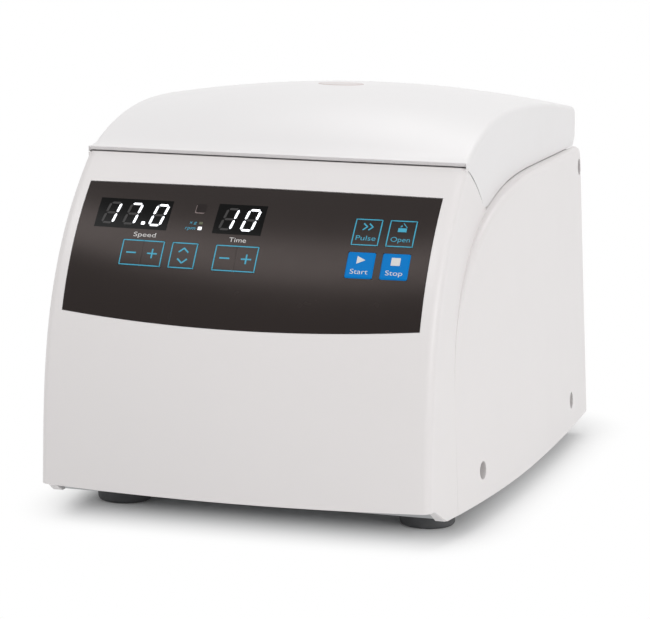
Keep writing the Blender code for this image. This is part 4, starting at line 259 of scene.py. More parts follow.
class Finish(Nodes):
    """A material in the making: one Principled shader and the nodes that vary it."""

    def __init__(self, name, colour, roughness, **fixed):
        self.material = bpy.data.materials.new(name)
        self.material.use_nodes = True
        super().__init__(self.material.node_tree)
        self.shader = self.tree.nodes["Principled BSDF"]
        self.colour = (*colour, 1.0)
        self.shader.inputs["Base Color"].default_value = self.colour
        self.shader.inputs["Roughness"].default_value = roughness
        for socket, value in fixed.items():
            socket = socket.replace("_", " ").title().replace("Ior", "IOR")
            self.shader.inputs[socket].default_value = value

    def feed(self, socket, wire):
        self.tree.links.new(wire.socket, self.shader.inputs[socket])

    def place(self):
        """The place on the piece, in metres."""
        return self.node("ShaderNodeTexCoord", output="Object")

    def noise(self, scale, detail=2.0, roughness=0.5, stretch=None):
        """Smooth noise over the piece, from 0 to 1, at so many spots a metre."""
        where = self.place()
        if stretch:
            where = self.node("ShaderNodeMapping", values={"Vector": where, "Scale": stretch})
        return self.node("ShaderNodeTexNoise", values={"Vector": where, "Scale": scale,
                                                       "Detail": detail, "Roughness": roughness})

    def tint(self, factor, amount):
        """Lightens and darkens the colour by a share, as a factor goes from 1 to 0."""
        dark, light = ((*(channel * (1.0 + change) for channel in self.colour[:3]), 1.0)
                       for change in (-amount, amount))
        self.feed("Base Color", self.node("ShaderNodeMix", {"data_type": "RGBA"},
                                          {0: factor, 6: dark, 7: light}, 2))

    def vary_roughness(self, factor, amount, least):
        self.feed("Roughness", factor * amount + least)

    def bump(self, height, distance, strength):
        self.feed("Normal", self.node("ShaderNodeBump", values={
            "Height": height, "Distance": distance, "Strength": strength}))


def moulded(name, colour, roughness, grain=0.06 * MM):
    """Moulded plastic: a fine spark-eroded grain, with faint mottling in tone and gloss."""
    finish = Finish(name, colour, roughness)
    finish.tint(finish.noise(14.0, 3.0), 0.012)
    finish.vary_roughness(finish.noise(60.0), 0.08, roughness - 0.04)
    finish.bump(finish.noise(2200.0, 2.0, 0.6), grain, 0.35)
    return finish.material


def brushed(name, colour, roughness, stretch=(900.0, 12.0, 12.0)):
    """Metal with fine parallel brush marks and a little cloudiness."""
    finish = Finish(name, colour, roughness, metallic=1.0)
    marks = finish.noise(1.0, 3.0, 0.6, stretch)
    finish.vary_roughness(marks, 0.16, roughness - 0.06)
    finish.tint(finish.noise(30.0, 3.0), 0.05)
    finish.bump(marks, 0.02 * MM, 0.4)
    return finish.material


def turned_metal(name, colour, roughness):
    """Lathe-turned metal: rings about the upright axis."""
    finish = Finish(name, colour, roughness, metallic=1.0)
    centred = finish.node("ShaderNodeMapping",
                          values={"Vector": finish.place(), "Location": (0.0, -AXIS_Y, 0.0)})
    rings = finish.node("ShaderNodeTexWave", {"wave_type": "RINGS", "rings_direction": "Z"},
                        {"Vector": centred, "Scale": 260.0, "Distortion": 0.6, "Detail": 2.0}, 1)
    finish.vary_roughness(rings, 0.10, roughness - 0.04)
    finish.tint(finish.noise(25.0, 3.0), 0.05)
    finish.bump(rings, 0.015 * MM, 0.3)
    return finish.material


def film(name, colour, roughness, **fixed):
    """Printed satin polyester film with a very fine haze."""
    finish = Finish(name, colour, roughness, **fixed)
    finish.tint(finish.noise(20.0, 3.0), 0.05)
    finish.vary_roughness(finish.noise(90.0), 0.06, roughness - 0.03)
    finish.bump(finish.noise(3500.0, 1.0), 0.02 * MM, 0.25)
    return finish.material


def rubber(name, colour):
    """Dark rubber with a dusty, slightly pitted skin."""
    finish = Finish(name, colour, 0.78, specular_ior_level=0.35)
    dust = finish.noise(180.0, 4.0, 0.6)
    finish.tint(dust, 0.30)
    finish.vary_roughness(dust, 0.15, 0.68)
    finish.bump(finish.noise(900.0, 3.0), 0.10 * MM, 0.5)
    return finish.material


def laminate_board(name):
    """Green circuit board: copper tracks as faint lighter lines under the lacquer."""
    finish = Finish(name, (0.012, 0.10, 0.045), 0.38)
    tracks = finish.node("ShaderNodeTexBrick", {"offset": 0.37}, {
        "Vector": finish.place(), "Scale": 60.0, "Mortar Size": 0.06, "Color1": (0, 0, 0, 1),
        "Color2": (0.1, 0.1, 0.1, 1), "Mortar": (1, 1, 1, 1)}, 1)
    finish.tint(tracks, 0.45)
    finish.bump(tracks, 0.05 * MM, 0.4)
    return finish.material


def glowing(name, colour, strength):
    """A lit segment or lamp, with a trace of unevenness in its face."""
    finish = Finish(name, colour, 0.4, emission_strength=strength, emission_color=(*colour, 1.0))
    finish.tint(finish.noise(400.0), 0.05)
    return finish.material


def clear_plastic(name, colour, roughness, transmission):
    """Clear or tinted moulded window with a few faint flow marks."""
    finish = Finish(name, colour, roughness, transmission_weight=transmission)
    finish.bump(finish.noise(25.0), 0.05 * MM, 0.2)
    finish.tint(finish.noise(12.0), 0.03)
    return finish.material


def ink(name, colour):
    """Printed ink: flat colour with a trace of screen texture."""
    finish = Finish(name, colour, 0.45)
    finish.tint(finish.noise(1500.0), 0.04)
    return finish.material


WHITE = moulded("white_moulded_plastic", (0.80, 0.772, 0.768), 0.36)
LID_WHITE = moulded("white_lid_plastic", (0.81, 0.795, 0.797), 0.36)
LINER_GREY = moulded("grey_liner_plastic", (0.50, 0.50, 0.51), 0.45)
BLACK = moulded("black_moulded_plastic", (0.018, 0.018, 0.019), 0.42, 0.10 * MM)
DARK_FILM = (0.0105, 0.0078, 0.0072)
SATIN = {"specular_ior_level": 0.25, "specular_tint": (1.0, 0.85, 0.81, 1.0)}
FILM = film("dark_overlay_film", DARK_FILM, 0.26, **SATIN)
KEY_FILM = film("key_film", DARK_FILM, 0.26, **SATIN)
BLUE = film("blue_key_film", (0.0, 0.195, 0.580), 0.36, specular_ior_level=0.06)
WINDOW = film("display_window_film", (0.002, 0.002, 0.002), 0.20, specular_ior_level=0.07)
DIM_SEGMENT = film("unlit_segment", (0.052, 0.050, 0.050), 0.30, specular_ior_level=0.10)
LIT = glowing("lit_segment", (0.93, 0.95, 1.0), 1.0)
OLIVE = glowing("dim_lamp", (0.05, 0.058, 0.018), 0.2)
CYAN = ink("cyan_ink", (0.020, 0.350, 0.520))
PALE = ink("pale_ink", (0.66, 0.65, 0.64))
SENSOR = film("sensor_window", (0.014, 0.009, 0.0085), 0.22, specular_ior_level=0.15)
# A lighter brown sheet set behind the sensor window and offset so that it shows only as a thin stroke at
# the window's lower left: a painted highlight of the window's lit edge
SENSOR_EDGE_HIGHLIGHT = film("sensor_edge_highlight", (0.20, 0.15, 0.145), 0.30)
RUBBER = rubber("foot_rubber", (0.115, 0.116, 0.120))
SEAL = rubber("seal_rubber", (0.030, 0.030, 0.032))
STEEL = brushed("brushed_steel", (0.60, 0.60, 0.61), 0.32)
PLATE = brushed("zinc_plate", (0.50, 0.51, 0.52), 0.42, (14.0, 500.0, 14.0))
# Screw steel darkened to a near-black brown: painted shade standing in for the dark depth of the screw
# recesses in the cheeks
SHADED_SCREW_STEEL = turned_metal("screw_steel_painted_shade", (0.085, 0.065, 0.060), 0.42)
BOWL_STEEL = turned_metal("bowl_steel", (0.62, 0.62, 0.63), 0.26)
ALLOY = turned_metal("rotor_alloy", (0.20, 0.205, 0.215), 0.34)
MOTOR_ALLOY = turned_metal("motor_alloy", (0.45, 0.45, 0.46), 0.40)
PORT_CLEAR = clear_plastic("port_window", (0.62, 0.56, 0.555), 0.30, 0.15)
PORT_SEAT = moulded("port_seat_plastic", (0.56, 0.44, 0.43), 0.42)
SMOKE = clear_plastic("rotor_lid_tint", (0.10, 0.11, 0.13), 0.10, 0.6)
BOARD = laminate_board("board_laminate")
WOUND = moulded("varnished_core", (0.06, 0.055, 0.05), 0.40, 0.3 * MM)

SLOT_FINISHES = {
    "white_moulding": WHITE, "grey_liner": LINER_GREY, "steel": STEEL, "anodised_alloy": ALLOY,
    "black_rubber": SEAL, "dark_film": FILM, "key_film": KEY_FILM, "blue_key": BLUE,
    "clear_window": PORT_CLEAR, "circuit_board": BOARD, "display_block": WINDOW, "wound_parts": WOUND,
    "black_moulding": BLACK, "rotor_lid_plastic": SMOKE,
}
NODE_FINISHES = {"motor_housing": MOTOR_ALLOY, "chamber_bowl": BOWL_STEEL, "base_plate": PLATE,
                 "rear_panel": PLATE, "motor_plate": PLATE}


def dress_solids():
    """Gives every carried-over solid the finish of its slot."""
    slots = {entry["node"]: entry["material_slot"] for entry in frame["record"]["subparts"]}
    for name, solid in frame["nodes"].items():
        finish = NODE_FINISHES.get(name, SLOT_FINISHES[slots[name]])
        # The side screws take the darkened steel, painted shade of their recesses
        if name.startswith("side_screw"):
            finish = SHADED_SCREW_STEEL
        solid.data.materials.clear()
        solid.data.materials.append(finish)


# Mesh helpers

def link(name, data):
    """A new object in the scene for a mesh, a text, a lamp or a camera."""
    piece = bpy.data.objects.new(name, data)
    bpy.context.scene.collection.objects.link(piece)
    return piece


def make_piece(name, points, faces, material, body, sharp_degrees=SHARP_DEGREES):
    """Puts points and faces into a mesh that rides on a body."""
    flat, faces = tidy_grid(points, faces)
    mesh = bpy.data.meshes.new(name)
    mesh.from_pydata(flat.tolist(), [], faces)
    mesh.validate()
    mesh.shade_smooth()
    mesh.set_sharp_from_angle(angle=math.radians(sharp_degrees))
    mesh.materials.append(material)
    piece = link(name, mesh)
    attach(piece, body)
    return piece


def evaluated_mesh(piece):
    """The mesh that an object's modifiers or its text make."""
    bpy.context.view_layer.update()
    graph = bpy.context.evaluated_depsgraph_get()
    return bpy.data.meshes.new_from_object(piece.evaluated_get(graph))


def grid_faces(rows, columns, keep=None, close_rows=False, close_columns=False):
    """The quads of a grid of points, as an array of four corners each."""
    row = np.arange(rows if close_rows else rows - 1)
    column = np.arange(columns if close_columns else columns - 1)
    row, column = np.meshgrid(row, column, indexing="ij")
    if keep is not None:
        row, column = row[keep], column[keep]
    below = (row + 1) % rows
    beside = (column + 1) % columns
    corners = (row * columns + column, row * columns + beside, below * columns + beside,
               below * columns + column)
    return np.stack([corner.ravel() for corner in corners], axis=1)


def tidy_grid(points, faces):
    """Merges points that fall together, drops faces left without area, and points left unused."""
    flat = np.asarray(points).reshape(-1, 3)
    _, first, inverse = np.unique(np.round(flat, 7), axis=0, return_index=True, return_inverse=True)
    faces = [list(dict.fromkeys(face)) for face in inverse.ravel()[faces].tolist()]
    return flat[first], [corners for corners in faces if len(corners) > 2]


def sharpen_rim(mesh):
    """Marks the open edges sharp, so that a wall's rim is shaded apart from its faces."""
    edges = np.zeros(len(mesh.loops), int)
    mesh.loops.foreach_get("edge_index", edges)
    open_edges = np.bincount(edges, minlength=len(mesh.edges)) == 1
    marks = np.zeros(len(mesh.edges), bool)
    mesh.edges.foreach_get("use_edge_sharp", marks)
    mesh.edges.foreach_set("use_edge_sharp", marks | open_edges)


def grid_piece(name, points, material, body, keep=None, wall=0.0, close_columns=False, flip=False):
    """A piece from a grid of points, given a wall that grows inwards."""
    faces = grid_faces(*points.shape[:2], keep, close_columns=close_columns)
    if flip:
        faces = faces[:, ::-1]
    piece = make_piece(name, points, faces, material, body)
    if wall:
        sharpen_rim(piece.data)
        solid = piece.modifiers.new("wall", "SOLIDIFY")
        solid.thickness = wall
        solid.offset = -1.0
    return piece


def grid_normals(points):
    """Unit normals of a grid of points, from the differences along its rows and columns."""
    normals = np.cross(np.gradient(points, axis=1), np.gradient(points, axis=0))
    length = np.linalg.norm(normals, axis=2, keepdims=True)
    return normals / np.maximum(length, 1e-12)


def lathe(name, profile, centre, material, body, segments):
    """A profile of radius and height, carried round an upright axis."""
    turn = np.linspace(0.0, 2 * np.pi, segments, endpoint=False)
    radius, height = np.array(profile, float).T[:, :, None]
    points = np.stack([centre[0] + radius * np.cos(turn), centre[1] + radius * np.sin(turn),
                       centre[2] + height + 0.0 * turn], axis=2)
    return grid_piece(name, points, material, body, close_columns=True, flip=True)


def rounded_corner(centre, radius, start_degrees, end_degrees, steps):
    """Points of an arc in radius and height."""
    turn = np.radians(np.linspace(start_degrees, end_degrees, steps))
    return [(centre[0] + radius * math.cos(t), centre[1] + radius * math.sin(t)) for t in turn]


# Housing surface

def rise(z):
    """Height up the front face, from 0 at its foot to 1 at the lid's seam."""
    return np.clip((z - FRONT_BOTTOM_Z) / (SEAM_Z - FRONT_BOTTOM_Z), 0.0, 1.2)


def front_y(share, z):
    """Front face: the setback grows with a power of the height, and the plan bow fades out."""
    climb = rise(z)
    return (CORNER_Y + SEAM_SETBACK * climb ** FRONT_CURVE_POWER
            - FRONT_BOW * (1 - share ** 2) * (1 - climb ** 2))


def core_half_width(y, z):
    """Half-width between the cheeks, drawn in a little upwards and rearwards."""
    height = (z - FRONT_BOTTOM_Z) / (SEAM_Z - FRONT_BOTTOM_Z)
    length = np.clip((y - SEAM_Y) / (REAR_Y - SEAM_Y), 0.0, 1.0)
    draw = (CORE_BOTTOM_HALF_WIDTH - CORE_TOP_HALF_WIDTH) * height
    return CORE_BOTTOM_HALF_WIDTH - draw - CORE_REAR_TAPER * length


def cheek_half_width(y, z):
    """Cheek surface: a bow in plan, widest near the middle, which leans in as it rises."""
    half = BODY_WIDTH / 2
    away = np.abs(y - CHEEK_WIDEST_Y)
    front_reach, rear_reach = CHEEK_WIDEST_Y - CHEEK_FRONT_Y, REAR_Y - CHEEK_WIDEST_Y
    front = half - (half - CHEEK_FRONT_HALF_WIDTH) * (away / front_reach) ** 2
    rear = half - (half - CHEEK_REAR_HALF_WIDTH) * (away / rear_reach) ** 2
    return np.where(y < CHEEK_WIDEST_Y, front, rear) - CHEEK_LEAN * (z - SIDE_BOTTOM_Z)


def superellipse(share):
    """A quarter of a superellipse of the arch's power: 1 at share 0, 0 at share 1."""
    return (1 - np.clip(share, 0.0, 1.0) ** CHEEK_ARCH_POWER) ** (1 / CHEEK_ARCH_POWER)


def arch_y(z):
    """The cheek's front edge at a height: upright at the foot, then a superellipse."""
    share = (z - CHEEK_SPRING_Z) / (CHEEK_TOP_Z - CHEEK_SPRING_Z)
    return CHEEK_CROWN_Y - (CHEEK_CROWN_Y - CHEEK_FRONT_Y) * superellipse(share)


def swoop_z(y):
    """The lid's side edge from the seam down to the arch, a curve that steepens."""
    run = (y - SEAM_Y) / (SWOOP_END_Y - SEAM_Y)
    fall = SWOOP_STRAIGHTNESS_SHARE * run + (1 - SWOOP_STRAIGHTNESS_SHARE) * run ** 2
    return SEAM_Z - (SEAM_Z - SWOOP_END_Z) * fall


def swoop_y(z):
    """The swoop turned round: where it lies at a height, from the root of its quadratic."""
    drop = np.clip((SEAM_Z - z) / (SEAM_Z - SWOOP_END_Z), 0.0, 1.0)
    straight, bend = SWOOP_STRAIGHTNESS_SHARE, 1 - SWOOP_STRAIGHTNESS_SHARE
    run = (-straight + np.sqrt(straight ** 2 + 4 * bend * drop)) / (2 * bend)
    return SEAM_Y + (SWOOP_END_Y - SEAM_Y) * run


def flare(z):
    """How fully the strip beside the front flares out to the cheek: none near the seam."""
    ease = np.clip((FLARE_HIGH_Z - z) / (FLARE_HIGH_Z - FLARE_LOW_Z), 0.0, 1.0)
    return ease * ease * (3.0 - 2.0 * ease)


def face_point(x, z, offset=0.0):
    """A point on the front face, moved out along the face's normal by an offset."""
    x, z = np.broadcast_arrays(np.asarray(x, float), np.asarray(z, float))
    step = 0.3 * MM

    def at(px, pz):
        return np.stack([px, front_y(px / core_half_width(CORNER_Y, pz), pz), pz], axis=-1)

    normal = np.cross(at(x + step, z) - at(x - step, z), at(x, z + step) - at(x, z - step))
    normal /= np.linalg.norm(normal, axis=-1, keepdims=True)
    return at(x, z) + normal * np.asarray(offset)[..., None]


def panel_low(x):
    """The panel's lower edge, bowed down at its middle."""
    return PANEL_BOTTOM_Z - PANEL_BOTTOM_ARC * (1 - np.clip(x / PANEL_HALF_WIDTH, -1, 1) ** 2)


def panel_high(x):
    """The panel's upper edge, bowed up at its middle."""
    return PANEL_TOP_Z + PANEL_TOP_ARC * (1 - np.clip(x / PANEL_HALF_WIDTH, -1, 1) ** 2)


def front_rows(x, low):
    """Heights of the front's rows at a place across: below, beside and above the panel."""
    seat_low, seat_high = panel_low(x) - PANEL_GAP, panel_high(x) + PANEL_GAP
    below, beside, above = FRONT_ROWS
    return np.concatenate([np.linspace(low, seat_low, below),
                           np.linspace(seat_low, seat_high, beside)[1:],
                           np.linspace(seat_high, SEAM_Z, above)[1:]])


def corner_start(z):
    """Where the corner's arc leaves the face: its lean, its place across, its centre's Y."""
    half = core_half_width(CORNER_Y, z)
    lean = np.arctan(2 * FRONT_BOW * (1 - rise(z) ** 2) / half)
    x = half - CORNER_RADIUS * (1 - np.sin(lean))
    return lean, x, front_y(x / half, z) + CORNER_RADIUS * np.cos(lean)


def front_columns(side):
    """One half of the front, as columns from the middle out: face, corner arc, side strip."""
    edge = PANEL_HALF_WIDTH + PANEL_GAP
    columns = []
    for x in np.linspace(0.0, edge, FACE_COLUMNS):
        z = front_rows(x, FRONT_BOTTOM_Z)
        columns.append((x + 0 * z, front_y(x / core_half_width(CORNER_Y, z), z), z))
    z = front_rows(edge, FRONT_BOTTOM_Z)
    half = core_half_width(CORNER_Y, z)
    lean, x_end, centre_y = corner_start(z)
    for mix in (0.5, 1.0):
        x = edge + (x_end - edge) * mix
        columns.append((x, front_y(x / half, z), z))
    for mix in np.linspace(0.0, 1.0, CORNER_STEPS + 1)[1:]:
        turn = lean + (np.pi / 2 - lean) * mix
        columns.append((half - CORNER_RADIUS + CORNER_RADIUS * np.sin(turn),
                        centre_y - CORNER_RADIUS * np.cos(turn), z))
    slope_y = FRONT_Y + UNDERCUT_FRONT_RUN
    for mix in np.linspace(0.0, 1.0, STRIP_COLUMNS + 1)[1:]:
        foot_y = centre_y[0] + (CHEEK_FRONT_Y - centre_y[0]) * mix
        low = np.interp(foot_y, [slope_y, slope_y + UNDERCUT_SLOPE_RUN],
                        [FRONT_BOTTOM_Z, SIDE_BOTTOM_Z])
        z = front_rows(edge, low)
        start = corner_start(z)[2]
        end = np.where(z < SWOOP_END_Z, arch_y(z) + ARCH_TUCK, swoop_y(z))
        end = np.maximum(end, start + SKIN_STEP)
        y = start + (end - start) * mix
        core = core_half_width(y, z)
        crest = np.maximum(cheek_half_width(end, z) - SKIN_STEP / 2, core)
        columns.append((core + (crest - core) * flare(z) * mix, y, z))
    return np.stack([np.stack([side * x, y, z], axis=1) for x, y, z in columns], axis=1)


def make_front():
    """The front skin, one grid from cheek to cheek, with the panel's seat left open."""
    right, left = front_columns(1.0), front_columns(-1.0)
    points = np.concatenate([left[:, ::-1], right[:, 1:]], axis=1)
    normals = grid_normals(points)
    points = points + normals * SKIN_STEP
    columns = points.shape[1]
    inward = -normals[-1]
    inward[:, 2] = 0.0
    inward /= np.linalg.norm(inward, axis=1, keepdims=True)
    lip = [points[-1:] + inward * run + np.array([0.0, 0.0, lift]) for run, lift in LIP_STEPS]
    points = np.concatenate([points] + lip, axis=0)
    keep = np.ones((len(points) - 1, columns - 1), bool)
    below, beside, _ = FRONT_ROWS
    middle, reach = (columns - 1) // 2, FACE_COLUMNS - 1
    keep[below - 1:below + beside - 2, middle - reach:middle + reach] = False
    front = grid_piece("front_moulding", points, WHITE, "housing", keep, SKIN_WALL)


def cheek_rim():
    """The cheek's rim in Y and Z, evenly spaced: upright, arch, level top, corner and rear."""
    turn = np.linspace(0.0, np.pi / 2, ARCH_STEPS)
    power = 2.0 / CHEEK_ARCH_POWER
    arch_run, arch_height = CHEEK_CROWN_Y - CHEEK_FRONT_Y, CHEEK_TOP_Z - CHEEK_SPRING_Z
    arch = np.stack([CHEEK_CROWN_Y - arch_run * np.cos(turn) ** power,
                     CHEEK_SPRING_Z + arch_height * np.sin(turn) ** power], axis=1)
    corner = np.linspace(0.0, np.pi / 2, RIM_CORNER_STEPS)
    radius = CHEEK_REAR_CORNER_RADIUS
    rear = np.stack([REAR_Y - radius + radius * np.sin(corner),
                     CHEEK_TOP_Z - radius + radius * np.cos(corner)], axis=1)
    rim = np.concatenate([[(CHEEK_FRONT_Y, SIDE_BOTTOM_Z)], arch, rear, [(REAR_Y, SIDE_BOTTOM_Z)]])
    run = np.concatenate([[0.0], np.cumsum(np.linalg.norm(np.diff(rim, axis=0), axis=1))])
    even = np.linspace(0.0, run[-1], RIM_COLUMNS)
    return np.stack([np.interp(even, run, rim[:, 0]), np.interp(even, run, rim[:, 1])], axis=1)


def make_cheek(hand, side):
    """One cheek: a rolled rim round the arch, then rows that shrink down to the foot."""
    rim = cheek_rim()
    tangent = np.gradient(rim, axis=0)
    tangent /= np.linalg.norm(tangent, axis=1, keepdims=True)
    inward = np.stack([tangent[:, 1], -tangent[:, 0]], axis=1)
    rim = rim - inward * SKIN_STEP
    y, z = rim.T
    wall = core_half_width(y, z)
    wall = wall + (cheek_half_width(y, z) - wall) * flare(z) * (y < CHEEK_CROWN_Y)
    radius = np.clip(cheek_half_width(y, z) - wall, LEAST_ROUND, CHEEK_EDGE_RADIUS)
    tuck = np.where(y < SWOOP_END_Y, 2 * SKIN_STEP, -SKIN_STEP / 2)
    rows = [(rim, wall - tuck - SKIN_STEP)]
    for turn in np.linspace(0.0, np.pi / 2, EDGE_STEPS):
        place = rim + inward * (radius * (1 - np.cos(turn)))[:, None]
        rows.append((place, cheek_half_width(*place.T) - radius * (1 - np.sin(turn))))
    inner = rows[-1][0]
    share = np.linspace(0.0, 1.0, len(rim))
    foot = np.stack([inner[0, 0] + (inner[-1, 0] - inner[0, 0]) * share,
                     0 * share + SIDE_BOTTOM_Z], axis=1)
    for mix in np.linspace(0.0, 1.0, CHEEK_ROWS + 1)[1:]:
        place = inner + (foot - inner) * mix
        rows.append((place, cheek_half_width(*place.T)))
    points = np.stack([np.stack([side * (x + SKIN_STEP), place[:, 0], place[:, 1]], axis=1)
                       for place, x in rows])
    points[:, :, 1] = np.minimum(points[:, :, 1], REAR_Y + SKIN_STEP)
    cheek = grid_piece(f"cheek_{hand}", points, WHITE, "housing", wall=SKIN_WALL, flip=side > 0)
    drill(cheek, side)


def recess_cutter(y, z, side):
    """A round bar that reaches through a cheek's skin at a screw."""
    turn = np.linspace(0.0, 2 * np.pi, RECESS_SEGMENTS, endpoint=False)
    count = len(turn)
    ends = [np.stack([side * x + 0 * turn, y + SCREW_RECESS_RADIUS * np.cos(turn),
                      z + SCREW_RECESS_RADIUS * np.sin(turn)], axis=1) for x in RECESS_CUT_X]
    faces = grid_faces(2, count, close_columns=True).tolist()
    faces += [list(range(count))[::-1], list(range(count, 2 * count))]
    if side < 0:
        faces = [face[::-1] for face in faces]
    mesh = bpy.data.meshes.new("recess_cutter")
    mesh.from_pydata(np.concatenate(ends).tolist(), [], faces)
    return link("recess_cutter", mesh)


def drill(piece, side):
    """Cuts the three screw recesses through a cheek's skin, and leaves no cutter behind."""
    cutters = [recess_cutter(y, z, side) for y, z in SCREW_SPOTS]
    for cutter in cutters:
        hole = piece.modifiers.new("recess", "BOOLEAN")
        hole.object = cutter
        hole.solver = "EXACT"
    mesh = evaluated_mesh(piece)
    piece.modifiers.clear()
    piece.data = mesh
    mesh.shade_smooth()
    mesh.set_sharp_from_angle(angle=math.radians(SHARP_DEGREES))
    for cutter in cutters:
        bpy.data.objects.remove(cutter)


# Lid

def lid_front_share(y):
    """How far forward a place lies: 0 at the lid's peak and behind it, 1 at the seam."""
    return np.clip((LID_PEAK_Y - y) / (LID_PEAK_Y - SEAM_Y), 0.0, 1.0)


def lid_edge_z(y):
    """Height of the lid's side edge: steep from the seam, level over the rotor, then falling."""
    front_share = lid_front_share(y)
    rear_share = np.clip((y - LID_PEAK_Y) / (LID_REAR_Y - LID_PEAK_Y), 0.0, 1.0)
    drop = LID_EDGE_HEIGHT - SEAM_Z - LID_SEAM_GAP
    front = LID_EDGE_HEIGHT - drop * front_share ** LID_FRONT_DROP_POWER
    near = (front_share - LID_LIFT_START_SHARE) / (1 - LID_LIFT_START_SHARE)
    lift = LID_FRONT_LIFT * np.clip(near, 0.0, 1.0) ** 2
    rear = LID_EDGE_HEIGHT - LID_REAR_DROP * rear_share ** LID_REAR_DROP_POWER
    return np.where(y < LID_PEAK_Y, front + lift, rear)


def lid_crown(share, y):
    """The dome's extra height at a share of the width, fading to none at the seam."""
    return LID_CROWN * (1 - share ** 2) * (1 - lid_front_share(y) ** LID_CROWN_FADE_POWER)


def lid_low_z(y):
    """Where the lid's side wall ends: just above the swoop, then just above the arch."""
    y = np.asarray(y, float)
    reach = (CHEEK_CROWN_Y - y) / (CHEEK_CROWN_Y - CHEEK_FRONT_Y)
    arch = CHEEK_SPRING_Z + (CHEEK_TOP_Z - CHEEK_SPRING_Z) * superellipse(reach)
    run = np.clip((y - SEAM_Y) / (SWOOP_END_Y - SEAM_Y), 0.0, 1.0)
    low = np.where(y < SWOOP_END_Y, swoop_z(np.minimum(y, SWOOP_END_Y)), arch)
    return low + LID_SEAM_GAP / 2 + SWOOP_REVEAL * run * (1.0 - run)


def lid_grid(inset):
    """The lid's top as rows from front to rear and down the back, and columns across."""
    start, end = SEAM_Y + 2 * inset, LID_REAR_Y - inset
    ease = 1 - np.cos(np.linspace(0, np.pi / 2, LID_FRONT_ROWS))
    level = np.linspace(LID_PEAK_Y, end - LID_EDGE_RADIUS, LID_REAR_ROWS + 1)[1:]
    y = np.concatenate([start + (LID_PEAK_Y - start) * ease, level])
    flat = 1 - LID_EDGE_RADIUS / CORE_TOP_HALF_WIDTH
    spread = np.pi / 2 * LID_COLUMN_CROWDING_SHARE
    share = np.sin(np.linspace(-1.0, 1.0, LID_COLUMNS)[1:-1] * spread) / math.sin(spread) * flat
    turn = np.linspace(0.0, np.pi / 2, LID_EDGE_STEPS)
    step_in = LID_EDGE_RADIUS * (1 - np.sin(turn))
    step_down = LID_EDGE_RADIUS * (1 - np.cos(turn))
    shares = np.concatenate([0 * turn - 1, share, 0 * turn + 1])
    shares_in = np.concatenate([step_in[::-1], 0 * share, -step_in])
    shares_down = np.concatenate([step_down[::-1], 0 * share, step_down])
    crown = lid_crown(np.clip(shares, -flat, flat) / flat, y[:, None])
    fade = np.clip((y - start) / LID_EDGE_RADIUS / LID_EDGE_FADE_SHARE, 0.0, 1.0)
    top = lid_edge_z(y)[:, None] + crown - inset - shares_down * fade[:, None]

    def row(here, z):
        x = shares * (core_half_width(here, z) - inset) + shares_in
        return np.stack([x, here + 0 * z, z], axis=-1)

    last = top[-1]
    back = []
    for turn in np.linspace(0.0, np.pi / 2, LID_BEND_ROWS + 1)[1:]:
        back.append(row(end - LID_EDGE_RADIUS + LID_EDGE_RADIUS * math.sin(turn),
                        last - LID_EDGE_RADIUS * (1 - math.cos(turn))))
    for mix in np.linspace(0.0, 1.0, LID_BACK_ROWS + 1)[1:]:
        back.append(row(end, (last - LID_EDGE_RADIUS) * (1 - mix) + LID_REAR_WALL_FOOT_Z * mix))
    back.append(row(LID_REAR_FOOT_Y - inset, 0 * last + lid_low_z(LID_REAR_FOOT_Y)))
    return np.concatenate([row(y[:, None], top), np.stack(back)])


def side_grid(edge, inset, side):
    """The lid's side wall, from the top's outer column down to the swoop and the arch."""
    top = edge[:, 1:]
    run = np.concatenate([[0.0], np.cumsum(np.hypot(*np.diff(top, axis=0).T))])
    share = np.clip(run / run[-1] * LID_SIDE_RUN_SHARE, 0.0, 1.0)
    y_low = top[0, 0] + (top[-1, 0] - top[0, 0]) * share
    low = np.stack([y_low, np.minimum(lid_low_z(y_low), top[:, 1])], axis=1)
    columns = []
    for mix in np.linspace(0.0, 1.0, LID_SIDE_ROWS + 1)[1:]:
        y, z = (top + (low - top) * mix).T
        columns.append(np.stack([side * (core_half_width(y, z) - inset), y, z], axis=1))
    return np.stack(columns, axis=1)


def lid_skin(inset):
    """One skin of the lid: side wall, top and side wall in a single grid of columns."""
    top = lid_grid(inset)
    left, right = side_grid(top[:, 0], inset, -1.0), side_grid(top[:, -1], inset, 1.0)
    return np.concatenate([left[:, ::-1], top, right], axis=1)


def make_lid():
    """The domed lid: an outer and an inner skin with their edges closed."""
    outer, inner = lid_skin(0.0), lid_skin(LID_WALL)
    seam = SEAM_Z + LID_SEAM_GAP
    fold, front_in = outer[:1].copy(), inner[:1].copy()
    fold[..., 1] += LID_SEAM_FOLD
    fold[..., 2] = np.minimum(fold[..., 2], seam)
    front_in[..., 2] = np.maximum(front_in[..., 2], seam)
    points = np.concatenate([fold, outer, inner[::-1], front_in])
    rows, columns = points.shape[:2]
    count = len(outer)
    faces = [grid_faces(rows, columns, close_rows=True)]
    for column in (0, columns - 1):
        index = np.arange(rows) * columns + column
        a, b = index[1:1 + count], index[1 + count:1 + 2 * count][::-1]
        quads = np.stack([a[:-1], a[1:], b[1:], b[:-1]], axis=1)
        faces.append(quads if column == 0 else quads[:, ::-1])
    lid = make_piece("lid_cover", points, np.concatenate(faces), LID_WHITE, "lid", LID_SHARP_DEGREES)
    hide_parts("lid_shell")


def on_crown(name, profile, material):
    """Carries a profile of radius and offset round the port's middle, along the lid's top."""
    turn = np.linspace(0.0, 2 * np.pi, PORT_SEGMENTS, endpoint=False)
    radius, offset = np.array(profile).T[:, :, None]
    x, y = radius * np.cos(turn), AXIS_Y + radius * np.sin(turn)
    width = core_half_width(y, LID_EDGE_HEIGHT) - LID_EDGE_RADIUS
    z = lid_edge_z(y) + lid_crown(x / width, y) + offset
    points = np.stack([x, y, z], axis=2)
    return grid_piece(name, points, material, "lid", close_columns=True, flip=True)


